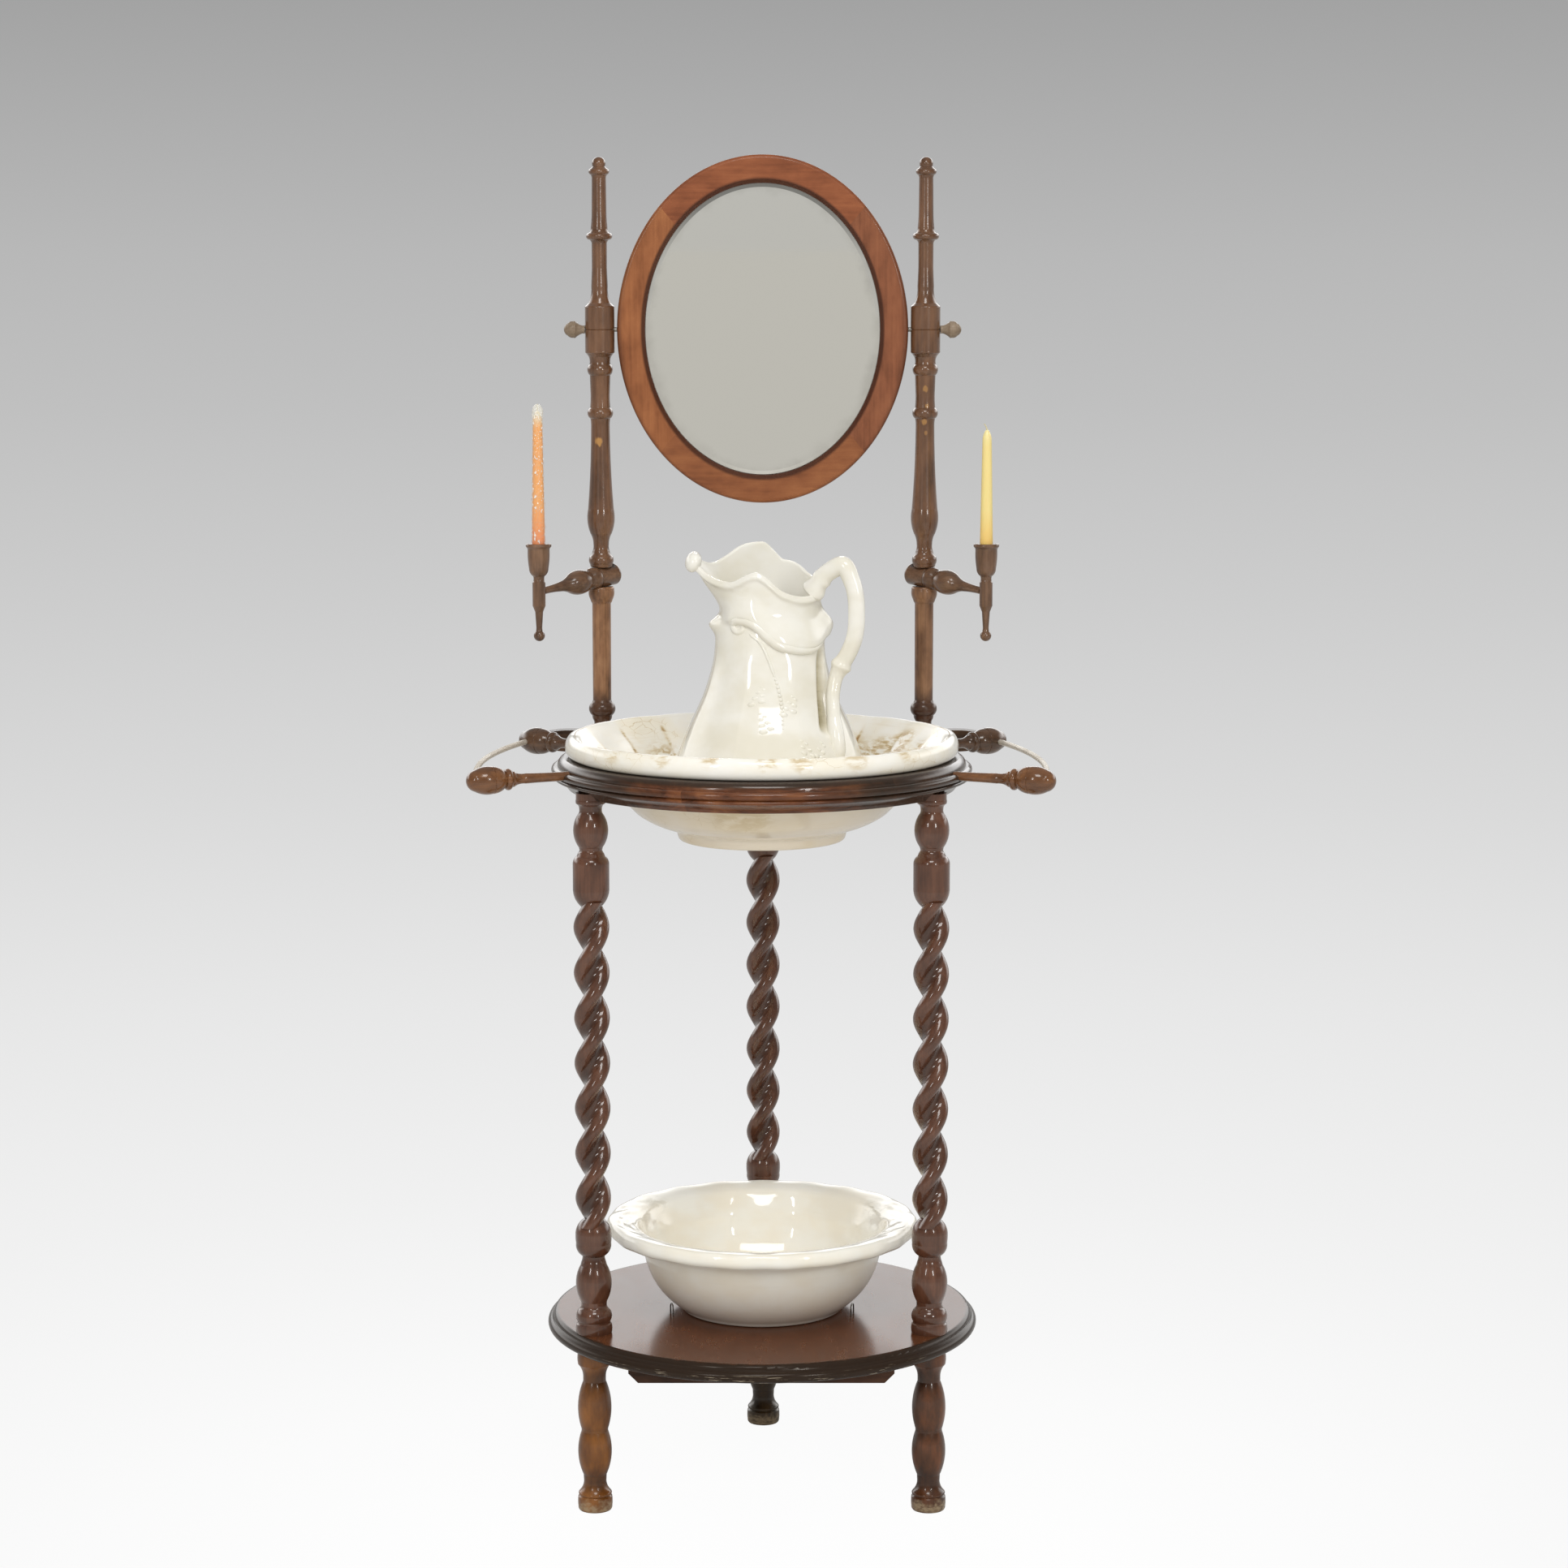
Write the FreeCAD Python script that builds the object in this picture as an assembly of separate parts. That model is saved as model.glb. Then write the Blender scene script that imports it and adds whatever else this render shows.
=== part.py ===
import FreeCAD, Part
import math
import os
from FreeCAD import Placement, Rotation, Vector

# A round three-legged washstand in turned hardwood: barley-twist columns, a moulded ring that
# carries the basin, towel rails, candle arms and a swinging oval mirror, with its wash set.
# Millimetres. Origin on the floor under the middle of the stand, X to the right, Y to the back.

# Fits
glue_line = 0.05
running_gap = 0.05
loose_gap = 0.3

# Stand
leg_circle_radius = 240.0
front_leg_angle = 30.0
shelf_overhang = 32.0
shelf_thickness = 22.0
shelf_top_height = 227.0
ring_bottom_height = 895.0
ring_thickness = 38.0
ring_outer_margin = 22.6
ring_inner_margin = 23.0
leg_tenon_radius = 7.0
leg_tenon_in_foot = 26.0
leg_tenon_in_ring = 28.0
leg_cap_radius = 18.0
leg_cap_rise = 8.0

# Barley twist: two rounded lobes with a hollow between them, wound round the column
lobe_radius = 11.2
lobe_offset = 10.8
lobe_half_angle = 95.0
hollow_floor_radius = 8.8
twist_lead = 112.9
twist_start_angle = 71.0
twist_run_in = 10.0

# Cleats under the shelf
cleat_length = 326.0
cleat_height = 22.0
cleat_depth = 30.0
cleat_end_chamfer = 12.0
front_cleat_setback = 96.0
back_cleat_offset = 96.0
cleat_screw_spread = 236.0

# Wood screws
screw_radius = 2.0
screw_head_radius = 4.2
screw_head_depth = 2.6
screw_length = 34.0

# Back rail and mirror posts
rail_half_length = 296.0
rail_height = 28.0
rail_depth = 22.0
rail_end_height = 15.0
rail_taper_length = 36.0
rail_setback = 32.0
rail_centre_height = 919.0
rail_screw_spread = 110.0
post_spacing = 422.0
post_tenon_radius = 6.0
post_tenon_length = 20.0
post_top_height = 1676.0
post_block_radius = 19.2
post_block_height = 62.0

# Candle arms, cups and candles
swivel_height = 1134.0
swivel_pin_radius = 5.0
swivel_pin_in_post = 26.0
barrel_radius = 14.0
barrel_flat = 12.5
candle_arm_reach = 107.0
candle_arm_forward_angle = 44.0
candle_arm_droop = 7.0
candle_arm_tenon_radius = 4.0
candle_arm_tenon_length = 6.0
cup_stem_radius = 8.4
cup_rise = 62.0
cup_drop = 64.0
cup_rim_radius = 16.4
cup_bore_depth = 22.0
candle_base_radius = 8.4
candle_tip_radius = 6.0
left_candle_length = 170.0
right_candle_length = 146.0
wick_radius = 0.8
wick_length = 9.0

# Towel rails
arm_length = 122.0
arm_shank_radius = 5.7
arm_shank_depth = 24.0
finial_radius = 17.0
front_arm_angle = 22.0
back_arm_angle = 35.0
front_arm_height = 920.0
back_arm_height = 925.0
rod_radius = 3.5
rod_bow = 28.0
rod_seat_from_tip = 17.0

# Mirror
mirror_height = 448.0
mirror_width = 377.0
mirror_frame_width = 36.0
mirror_frame_depth = 20.0
mirror_frame_round = 5.0
mirror_pivot_height = 1455.0
mirror_joint_angle = 50.0
glass_thickness = 4.0
glass_bevel_width = 12.0
glass_bevel_depth = 1.2
rebate_width = 7.0
rebate_depth = 12.0
back_panel_thickness = 4.0
panel_pin_count = 8
panel_pin_radius = 0.8
panel_pin_length = 12.0
panel_pin_proud = 5.0
pivot_screw_radius = 3.0
pivot_insert_radius = 5.0
pivot_insert_length = 16.0
knob_length = 27.0
knob_radius = 11.0
knob_neck_radius = 5.2
knob_socket_depth = 14.0

# Wash set
basin_rim_setback = 16.6
basin_height = 133.0
basin_foot_radius = 105.0
basin_foot_height = 14.0
basin_shoulder_height = 34.0
basin_shoulder_radius = 156.0
basin_wall = 8.0
basin_lip_height = 28.0
bowl_leg_clearance = 43.0
bowl_height = 119.0
bowl_foot_radius = 104.0
bowl_rim_width = 38.0
bowl_wall = 7.0
jug_offset = 10.0
jug_height = 348.0
jug_base_radius = 88.0
jug_belly_radius = 123.0
jug_neck_radius = 62.5
jug_neck_height = 274.0
jug_collar_place = 32.0 / 74.0
jug_spout_reach = 103.0
jug_mouth_radius = 71.0
jug_wall = 5.0
jug_floor_thickness = 8.0
jug_handle_radius = 9.4
jug_handle_reach = 118.0
jug_handle_turn = -25.0
jug_lip_roll_radius = 9.5
jug_lip_roll_length = 26.0

# Wire keepers beside the bowl
keeper_spacing = 121.0
keeper_turn = 20.0
keeper_wire_radius = 0.9
keeper_width = 10.0
keeper_height = 15.0
keeper_in_shelf = 8.0

# Heights, radii and places that follow from the sizes above
shelf_radius = leg_circle_radius + shelf_overhang
front_cleat_offset = shelf_radius - front_cleat_setback
ring_outer_radius = leg_circle_radius + ring_outer_margin
ring_inner_radius = leg_circle_radius - ring_inner_margin
rail_back_offset = leg_circle_radius + rail_setback
basin_radius = ring_outer_radius - basin_rim_setback
bowl_radius = leg_circle_radius - bowl_leg_clearance
bowl_opening_radius = bowl_radius - bowl_rim_width
shelf_underside = shelf_top_height - shelf_thickness
ring_top_height = ring_bottom_height + ring_thickness
rail_front = rail_back_offset - rail_depth
post_line = rail_back_offset - rail_depth / 2
post_side = post_spacing / 2
post_foot_height = rail_centre_height + rail_height / 2
lower_post_top = swivel_height - barrel_flat - loose_gap
upper_post_foot = swivel_height + barrel_flat + loose_gap
cup_line_height = swivel_height - candle_arm_reach * math.tan(math.radians(candle_arm_droop))
basin_foot_level = ring_top_height + basin_lip_height - basin_height
basin_floor = basin_foot_level + basin_foot_height + 2.0

UP = Vector(0, 0, 1)
CENTRE = Vector(0, 0, 0)
LEG_ANGLES = {
    "front_left": 180 + front_leg_angle,
    "front_right": -front_leg_angle,
    "back": 90.0,
}
SIDES = {"left": -1, "right": 1}


def save(name, shape):
    """Write one piece, or one group of like pieces, to its own file."""
    shape.exportStep("parts/" + name + ".step")


def polar(radius, angle, height=0.0):
    """Point at a radius and an angle in degrees from +X, at a height."""
    turn = math.radians(angle)
    return Vector(radius * math.cos(turn), radius * math.sin(turn), height)


def edge(start, end, bulge):
    """Line, or an arc standing out by bulge to the right of the run, in the XZ plane."""
    if abs(bulge) < 1e-9:
        return Part.LineSegment(start, end).toShape()
    run = end - start
    outward = Vector(run.z, 0, -run.x).normalize()
    return Part.Arc(start, (start + end) * 0.5 + outward * bulge, end).toShape()


def outline(points):
    """Closed face in the XZ plane from (x, z, bulge) points, bulge being that of the run before."""
    places = [Vector(x, 0, z) for x, z, _ in points]
    bulges = [bulge for _, _, bulge in points]
    runs = zip(places, places[1:] + places[:1], bulges[1:] + bulges[:1])
    return Part.Face(Part.Wire([edge(a, b, bulge) for a, b, bulge in runs]))


def spun(points):
    """Solid turned about Z from a closed (radius, height, bulge) outline."""
    return outline(points).revolve(CENTRE, UP, 360)


def cap_bulge(rise, radius):
    """Bulge of a round cap that meets the axis squarely."""
    span = math.hypot(rise, radius)
    ball = span ** 2 / (2 * rise)
    return ball - math.sqrt(ball ** 2 - span ** 2 / 4)


def turned(rows):
    """Solid turned about Z from (height, radius, bulge) rows, upwards; a zero radius ends in a cap."""
    points = [(radius, height, bulge) for height, radius, bulge in rows]
    if points[0][0] > 0:
        points.insert(0, (0.0, points[0][1], 0.0))
    else:
        radius, height, _ = points[1]
        points[1] = (radius, height, cap_bulge(height - points[0][1], radius))
    if points[-1][0] > 0:
        points.append((0.0, points[-1][1], 0.0))
    else:
        radius, height, _ = points[-2]
        points[-1] = (0.0, points[-1][1], cap_bulge(points[-1][1] - height, radius))
    return spun(points)


def raised(rows, base):
    """Rows given as heights above a base."""
    return [(base + height, radius, bulge) for height, radius, bulge in rows]


def lowered(rows, top):
    """Rows given as depths below a top, listed upwards."""
    return [(top - depth, radius, bulge) for depth, radius, bulge in rows]


def laid(shape, at, direction):
    """Turn a piece made along Z so that Z lies along a direction, and move it to a place."""
    shape = shape.copy()
    shape.Placement = Placement(at, Rotation(UP, direction))
    return shape


def mirrored(shape, side):
    """The piece as made for the right side, or its mirror image for the left."""
    return shape if side > 0 else shape.mirror(CENTRE, Vector(1, 0, 0))


def piped(path, radius):
    """Round rod along a path of lines and arcs."""
    first = path.Edges[0]
    start = first.valueAt(first.FirstParameter)
    heading = first.tangentAt(first.FirstParameter)
    ring = Part.Wire([Part.Circle(start, heading, radius).toShape()])
    return Part.Wire(path.Edges).makePipeShell([ring], True, False)


def wood_screw(length):
    """Countersunk wood screw along Z, its head's flat face at zero and its point below."""
    shank_top = -screw_head_depth
    rows = [
        (-length, 0.4, 0.0),
        (-length + 2.5 * screw_radius, screw_radius, 0.0),
        (shank_top, screw_radius, 0.0),
        (0.0, screw_head_radius, 0.0),
    ]
    return turned(rows)


# Legs


def foot():
    """Turned foot: a pad, two bulbs and a collar that the shelf stands on, with the leg's socket."""
    low = [
        (0.0, 19.6, 0.0),
        (4.0, 21.2, 0.5),
        (17.0, 21.2, 0.4),
        (19.0, 19.4, 0.0),
        (23.0, 20.2, 0.9),
        (40.0, 14.2, -2.2),
        (45.0, 14.4, 0.0),
        (101.0, 16.6, 5.4),
        (104.0, 16.6, 0.0),
    ]
    high = [
        (40.0, 14.2, 5.4),
        (34.0, 14.2, 0.0),
        (18.0, 20.4, -1.6),
        (3.0, 20.4, 0.8),
        (0.0, 19.4, 0.0),
    ]
    solid = turned(low + lowered(high, shelf_underside))
    socket_floor = shelf_underside - leg_tenon_in_foot
    socket_radius = leg_tenon_radius + glue_line
    return solid.cut(Part.makeCylinder(socket_radius, leg_tenon_in_foot, Vector(0, 0, socket_floor)))


def twist(bottom, top):
    """Section of two lobes hollowed between them, carried up the axis while it turns right-handed."""
    sweep_angle = math.radians(lobe_half_angle)
    crest_radius = lobe_offset + lobe_radius
    corner = lobe_offset + lobe_radius * math.cos(sweep_angle)
    width = lobe_radius * math.sin(sweep_angle)
    arcs = []
    for side in (1, -1):
        start = Vector(side * corner, -side * width, bottom)
        crest = Vector(side * crest_radius, 0, bottom)
        middle = Vector(side * corner, side * width, bottom)
        hollow = Vector(0, side * hollow_floor_radius, bottom)
        end = Vector(-side * corner, side * width, bottom)
        arcs += [Part.Arc(start, crest, middle).toShape(), Part.Arc(middle, hollow, end).toShape()]
    spine = Part.Wire([Part.LineSegment(Vector(0, 0, bottom), Vector(0, 0, top)).toShape()])
    guide = Part.makeHelix(twist_lead, top - bottom, crest_radius)
    guide.translate(Vector(0, 0, bottom))
    sweep = Part.BRepOffsetAPI.MakePipeShell(spine)
    sweep.setAuxiliarySpine(guide, True, 0)
    sweep.add(Part.Wire(arcs), False, False)
    sweep.build()
    sweep.makeSolid()
    shape = sweep.shape()
    shape.rotate(CENTRE, UP, twist_start_angle)
    return shape


def twist_column():
    """Column between shelf and ring: turned ends, twist between them, and a tenon at each end."""
    low = [
        (0.0, 22.0, 0.0),
        (11.5, 22.0, 0.8),
        (13.0, 20.6, 0.0),
        (15.0, 20.6, 0.0),
        (30.0, 19.0, 2.6),
        (36.0, 16.0, -0.8),
        (40.0, 16.2, 0.0),
        (86.0, 16.4, 6.0),
        (90.0, 15.4, 0.0),
        (98.0, 13.9, -0.5),
        (114.0, 21.8, 2.8),
        (127.0, 22.4, 0.3),
        (146.0, 9.0, 3.2),
    ]
    high = [
        (135.0, 9.0, 0.0),
        (112.0, 22.4, 3.2),
        (79.0, 22.4, 0.0),
        (70.0, 17.4, 1.2),
        (66.0, 15.8, 0.0),
        (62.5, 13.9, -0.3),
        (59.0, 14.8, 0.0),
        (17.0, 14.6, 6.8),
        (12.0, 14.0, -0.4),
        (5.0, leg_cap_radius, -1.2),
        (0.0, leg_cap_radius, 0.4),
        (-leg_cap_rise, leg_cap_radius, 0.0),
    ]
    lower = turned(raised(low, shelf_top_height))
    upper = turned(lowered(high, ring_bottom_height))
    twist_bottom = shelf_top_height + low[-1][0] - twist_run_in
    twist_top = ring_bottom_height - high[0][0] + twist_run_in
    tenon_foot = shelf_underside - leg_tenon_in_foot
    tenon_reach = shelf_top_height - tenon_foot
    lower_tenon = Part.makeCylinder(leg_tenon_radius, tenon_reach, Vector(0, 0, tenon_foot))
    upper_tenon = Part.makeCylinder(leg_tenon_radius, leg_tenon_in_ring, Vector(0, 0, ring_bottom_height))
    return twist(twist_bottom, twist_top).fuse([lower, upper, lower_tenon, upper_tenon])


def make_legs():
    foot_solid = foot()
    column_solid = twist_column()
    for name, angle in LEG_ANGLES.items():
        place = polar(leg_circle_radius, angle)
        save("foot_" + name, foot_solid.translated(place))
        save("twist_column_" + name, column_solid.translated(place))


# Shelf


def leg_holes(bottom, height, radius=leg_tenon_radius):
    """Round holes for the three legs, a glue line wider than what goes in."""
    return [
        Part.makeCylinder(radius + glue_line, height, polar(leg_circle_radius, angle, bottom))
        for angle in LEG_ANGLES.values()
    ]


def cleat_screw_solids():
    """Screws that go up through the cleats into the shelf."""
    half = cleat_screw_spread / 2
    level = shelf_underside - cleat_height
    screw = wood_screw(screw_length)
    places = [Vector(x, y, level) for y in (-front_cleat_offset, back_cleat_offset) for x in (-half, half)]
    return [laid(screw, place, Vector(0, 0, -1)) for place in places]


def keeper_places():
    """Where the wire keepers stand, and the angle each one faces."""
    return [(polar(keeper_spacing, angle), angle) for angle in (-keeper_turn, 180 + keeper_turn)]


def keeper_wire(radius):
    """Bent wire loop standing across X, with two straight legs that go into the shelf."""
    bend = keeper_width / 2
    spring = shelf_top_height + keeper_height - bend - keeper_wire_radius
    foot_level = shelf_top_height - keeper_in_shelf
    left_foot, left_top = Vector(0, -bend, foot_level), Vector(0, -bend, spring)
    right_top, right_foot = Vector(0, bend, spring), Vector(0, bend, foot_level)
    crown = Vector(0, 0, spring + bend)
    path = Part.Wire([
        Part.LineSegment(left_foot, left_top).toShape(),
        Part.Arc(left_top, crown, right_top).toShape(),
        Part.LineSegment(right_top, right_foot).toShape(),
    ])
    return piped(path, radius)


def shelf():
    """Round shelf with a quarter-round, a quirk and a full nose on its edge."""
    top, low = shelf_top_height, shelf_underside
    nose = shelf_radius - 5.5
    disc = spun([
        (0.0, low, 0.0),
        (nose - 2.0, low, 0.0),
        (nose, low + 14.0, 6.2),
        (nose - 1.5, low + 15.5, 0.0),
        (nose - 7.0, top, 1.6),
        (0.0, top, 0.0),
    ])
    wire_holes = []
    for place, angle in keeper_places():
        hole = keeper_wire(keeper_wire_radius + glue_line)
        hole.rotate(CENTRE, UP, angle)
        wire_holes.append(hole.translated(place))
    return disc.cut(leg_holes(low - 1, shelf_thickness + 2) + cleat_screw_solids() + wire_holes)


def cleat(offset):
    """Straight bar with chamfered ends under the shelf, drilled for two screws."""
    half = cleat_length / 2
    level = shelf_underside - cleat_height
    bar = outline([
        (-half + cleat_end_chamfer, level, 0.0),
        (half - cleat_end_chamfer, level, 0.0),
        (half, level + cleat_end_chamfer, 0.0),
        (half, shelf_underside, 0.0),
        (-half, shelf_underside, 0.0),
        (-half, level + cleat_end_chamfer, 0.0),
    ]).extrude(Vector(0, cleat_depth, 0))
    bar.translate(Vector(0, offset - cleat_depth / 2, 0))
    return bar.cut(cleat_screw_solids())


def make_shelf():
    save("lower_shelf", shelf())
    save("shelf_cleat_front", cleat(-front_cleat_offset))
    save("shelf_cleat_back", cleat(back_cleat_offset))
    save("cleat_screws", Part.makeCompound(cleat_screw_solids()))
    keepers = []
    for place, angle in keeper_places():
        keeper = keeper_wire(keeper_wire_radius)
        keeper.rotate(CENTRE, UP, angle)
        keepers.append(keeper.translated(place))
    save("bowl_keepers", Part.makeCompound(keepers))


# Towel rails


def arm_places():
    """Angle and height of each towel arm's axis."""
    return {
        "front_left": (180 + front_arm_angle, front_arm_height),
        "front_right": (-front_arm_angle, front_arm_height),
        "back_left": (180 - back_arm_angle, back_arm_height),
        "back_right": (back_arm_angle, back_arm_height),
    }


def towel_arm():
    """Turned arm along Z from the ring's edge: shank, thin neck, bead collar and egg finial."""
    tip = arm_length
    rows = [
        (-arm_shank_depth, arm_shank_radius, 0.0),
        (4.0, arm_shank_radius, 0.0),
        (tip - 75.0, 6.4, -0.2),
        (tip - 60.0, 9.6, -1.4),
        (tip - 57.0, 10.2, 0.0),
        (tip - 48.5, 10.6, 3.0),
        (tip - 34.0, finial_radius - 0.2, 1.3),
        (tip - 33.2, finial_radius - 0.8, 0.0),
        (tip - 32.4, finial_radius - 0.1, 0.0),
        (tip - 10.0, finial_radius - 4.0, 2.0),
        (tip, 0.0, 0.0),
    ]
    return turned(rows)


def rod_path(side):
    """Arc from the back finial to the front one, bowed outwards."""
    seat = ring_outer_radius + arm_length - rod_seat_from_tip
    back = polar(seat, back_arm_angle, back_arm_height)
    front = polar(seat, -front_arm_angle, front_arm_height)
    outward = (front - back).cross(UP).normalize()
    if outward.x < 0:
        outward = outward * -1
    crown = (back + front) * 0.5 + outward * rod_bow
    places = [Vector(p.x * side, p.y, p.z) for p in (back, crown, front)]
    return Part.Wire([Part.Arc(*places).toShape()])


def make_towel_rails():
    arm = towel_arm()
    for name, (angle, height) in arm_places().items():
        side = SIDES["right" if "right" in name else "left"]
        solid = laid(arm, polar(ring_outer_radius, angle, height), polar(1, angle))
        save("towel_arm_" + name, solid.cut(piped(rod_path(side), rod_radius + glue_line)))
    for name, side in SIDES.items():
        save("towel_rod_" + name, piped(rod_path(side), rod_radius))


# Ring, back rail and posts


def rail_screw_solids():
    """Screws that go forward through the back rail into the ring."""
    half = rail_screw_spread / 2
    screw = wood_screw(screw_length)
    places = [Vector(x, rail_back_offset, rail_centre_height) for x in (-half, half)]
    return [laid(screw, place, Vector(0, 1, 0)) for place in places]


def ring():
    """Moulded ring: coved apron, small and large bead, ovolo, and a planed flat for the back rail."""
    low, top = ring_bottom_height, ring_top_height
    bead = ring_outer_radius - 5.0
    moulding = spun([
        (ring_inner_radius, low, 0.0),
        (bead - 16.0, low, 0.0),
        (bead - 1.0, low + 12.0, -1.6),
        (bead + 0.6, low + 12.0, 0.0),
        (bead + 0.6, low + 16.5, 1.6),
        (bead - 0.6, low + 17.5, 0.0),
        (bead, low + 17.5, 0.0),
        (bead, top - 10.5, 4.6),
        (bead - 3.0, top - 10.5, 0.0),
        (bead - 11.0, top, 2.4),
        (ring_inner_radius, top, 0.0),
    ])
    span = 2 * rail_half_length
    flat = Part.makeBox(span, span, ring_thickness + 2, Vector(-span / 2, rail_front, low - 1))
    arm_holes = []
    for angle, height in arm_places().values():
        foot_place = polar(ring_outer_radius - arm_shank_depth, angle, height)
        reach = arm_shank_depth + 10.0
        hole_radius = arm_shank_radius + glue_line
        arm_holes.append(Part.makeCylinder(hole_radius, reach, foot_place, polar(1, angle)))
    tenon_holes = leg_holes(low - 1, leg_tenon_in_ring + 1)
    cap_seats = leg_holes(low - 1, leg_cap_rise + 1, leg_cap_radius)
    return moulding.cut([flat] + tenon_holes + cap_seats + arm_holes + rail_screw_solids())


def back_rail():
    """Slim bar behind the ring with tapered ends, socketed for the two mirror posts."""
    half, taper = rail_half_length, rail_taper_length
    low, top = rail_centre_height - rail_height / 2, rail_centre_height + rail_height / 2
    end_low, end_top = rail_centre_height - rail_end_height / 2, rail_centre_height + rail_end_height / 2
    bar = outline([
        (-half + taper, low, 1.2),
        (half - taper, low, 0.0),
        (half, end_low, 1.2),
        (half, end_top, 3.0),
        (half - taper, top, 1.2),
        (-half + taper, top, 0.0),
        (-half, end_top, 1.2),
        (-half, end_low, 3.0),
    ]).extrude(Vector(0, rail_depth, 0))
    bar.translate(Vector(0, rail_front, 0))
    sockets = [
        Part.makeCylinder(
            post_tenon_radius + glue_line,
            post_tenon_length,
            Vector(side * post_side, post_line, top - post_tenon_length),
        )
        for side in SIDES.values()
    ]
    screw_holes = rail_screw_solids()
    return bar.cut(sockets + screw_holes)


def lower_post():
    """Post from the rail to the candle arm: bead foot, plain shaft and cap, with the pin's socket."""
    low = [
        (-post_tenon_length, post_tenon_radius, 0.0),
        (0.0, post_tenon_radius, 0.0),
        (0.0, 11.0, 0.0),
        (11.0, 10.6, -0.4),
        (15.0, 12.6, 0.0),
        (19.0, 13.2, 0.0),
        (36.0, 13.2, 4.2),
        (39.0, 12.0, 0.0),
    ]
    high = [
        (24.0, 12.2, 0.0),
        (20.0, 13.6, -0.5),
        (16.0, 15.0, 0.0),
        (4.0, 16.6, 1.0),
        (0.0, 15.2, 0.6),
    ]
    solid = turned(raised(low, post_foot_height) + lowered(high, lower_post_top))
    floor = lower_post_top - swivel_pin_in_post
    socket = Part.makeCylinder(swivel_pin_radius + glue_line, swivel_pin_in_post, Vector(0, 0, floor))
    return solid.cut(socket)


def upper_post():
    """Post above the candle arm: swivel pin, flange, vase, pivot block with a groove, and finial."""
    pin_foot = upper_post_foot - lower_post_top + swivel_pin_in_post
    low = [
        (-pin_foot, swivel_pin_radius, 0.0),
        (0.0, swivel_pin_radius, 0.0),
        (0.0, 13.4, 0.0),
        (3.5, 14.6, 0.3),
        (13.5, 15.2, 1.3),
        (21.0, 11.2, -0.8),
        (30.0, 10.2, -0.6),
        (44.0, 14.0, -1.0),
        (76.0, 16.8, 2.4),
    ]
    block_half = post_block_height / 2
    below = [
        (block_half + 94.0, 12.2, -1.0),
        (block_half + 84.0, 13.0, -0.3),
        (block_half + 70.0, 13.2, 3.6),
        (block_half + 46.0, 12.8, -0.5),
        (block_half + 28.0, 13.4, 0.0),
        (block_half + 14.0, 13.8, 3.0),
        (block_half + 4.0, 14.6, -0.8),
        (block_half, 17.6, 0.0),
        (block_half - 3.0, post_block_radius, 0.6),
    ]
    middle = [
        (-0.8, post_block_radius, 0.0),
        (0.0, post_block_radius - 0.9, 0.0),
        (0.8, post_block_radius, 0.0),
        (block_half - 3.0, post_block_radius, 0.0),
        (block_half, 17.6, 0.6),
        (block_half + 3.0, 14.4, 0.0),
        (block_half + 24.0, 10.8, -1.4),
        (block_half + 48.0, 9.8, 0.0),
    ]
    high = [
        (110.0, 9.9, 0.0),
        (106.0, 12.6, -0.4),
        (97.0, 12.6, 4.4),
        (90.0, 10.8, -0.6),
        (70.0, 9.6, -0.3),
        (27.0, 9.2, 0.0),
        (23.0, 10.6, -0.3),
        (15.0, 10.6, 2.8),
        (12.5, 8.0, 0.0),
        (0.0, 0.0, 0.0),
    ]
    rows = raised(low, upper_post_foot)
    rows += lowered(below, mirror_pivot_height)
    rows += raised(middle, mirror_pivot_height)
    rows += lowered(high, post_top_height)
    bore = Part.makeCylinder(
        pivot_screw_radius + running_gap,
        4 * post_block_radius,
        Vector(-2 * post_block_radius, 0, mirror_pivot_height),
        Vector(1, 0, 0),
    )
    return turned(rows).cut(bore)


def make_upper_frame():
    save("basin_ring", ring())
    save("back_rail", back_rail())
    save("rail_screws", Part.makeCompound(rail_screw_solids()))
    lower, upper = lower_post(), upper_post()
    for name, side in SIDES.items():
        place = Vector(side * post_side, post_line, 0)
        save("lower_post_" + name, lower.translated(place))
        save("upper_post_" + name, upper.translated(place))


# Candle arms


def candle_arm():
    """Turned arm on the right post: swivel barrel with spot faces, collar, bulb and thin neck."""
    stem_face = candle_arm_reach / math.cos(math.radians(candle_arm_droop)) - cup_stem_radius
    rows = [
        (-26.0, 9.0, 0.0),
        (-21.0, barrel_radius, 1.0),
        (6.0, barrel_radius, 0.0),
        (7.5, barrel_radius - 1.4, 0.0),
        (9.0, barrel_radius, 0.0),
        (19.0, barrel_radius, 0.8),
        (22.0, 11.6, 0.0),
        (24.0, 11.6, 0.0),
        (56.0, 11.4, 4.6),
        (72.0, 6.4, -0.9),
        (stem_face - 2.0, 4.8, -0.5),
        (stem_face, 4.8, 0.0),
        (stem_face, candle_arm_tenon_radius, 0.0),
        (stem_face + candle_arm_tenon_length, candle_arm_tenon_radius, 0.0),
    ]
    droop = math.radians(candle_arm_droop)
    arm = laid(turned(rows), CENTRE, Vector(math.cos(droop), 0, -math.sin(droop)))
    spot_radius = post_block_radius
    spots = [
        Part.makeCylinder(spot_radius, barrel_radius, Vector(0, 0, level))
        for level in (barrel_flat, -barrel_flat - barrel_radius)
    ]
    bore_radius = swivel_pin_radius + running_gap
    bore = Part.makeCylinder(bore_radius, 4 * barrel_radius, Vector(0, 0, -2 * barrel_radius))
    arm = arm.cut(spots + [bore])
    arm = max(arm.Solids, key=lambda solid: solid.Volume)
    return placed_on_post(arm)


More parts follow.
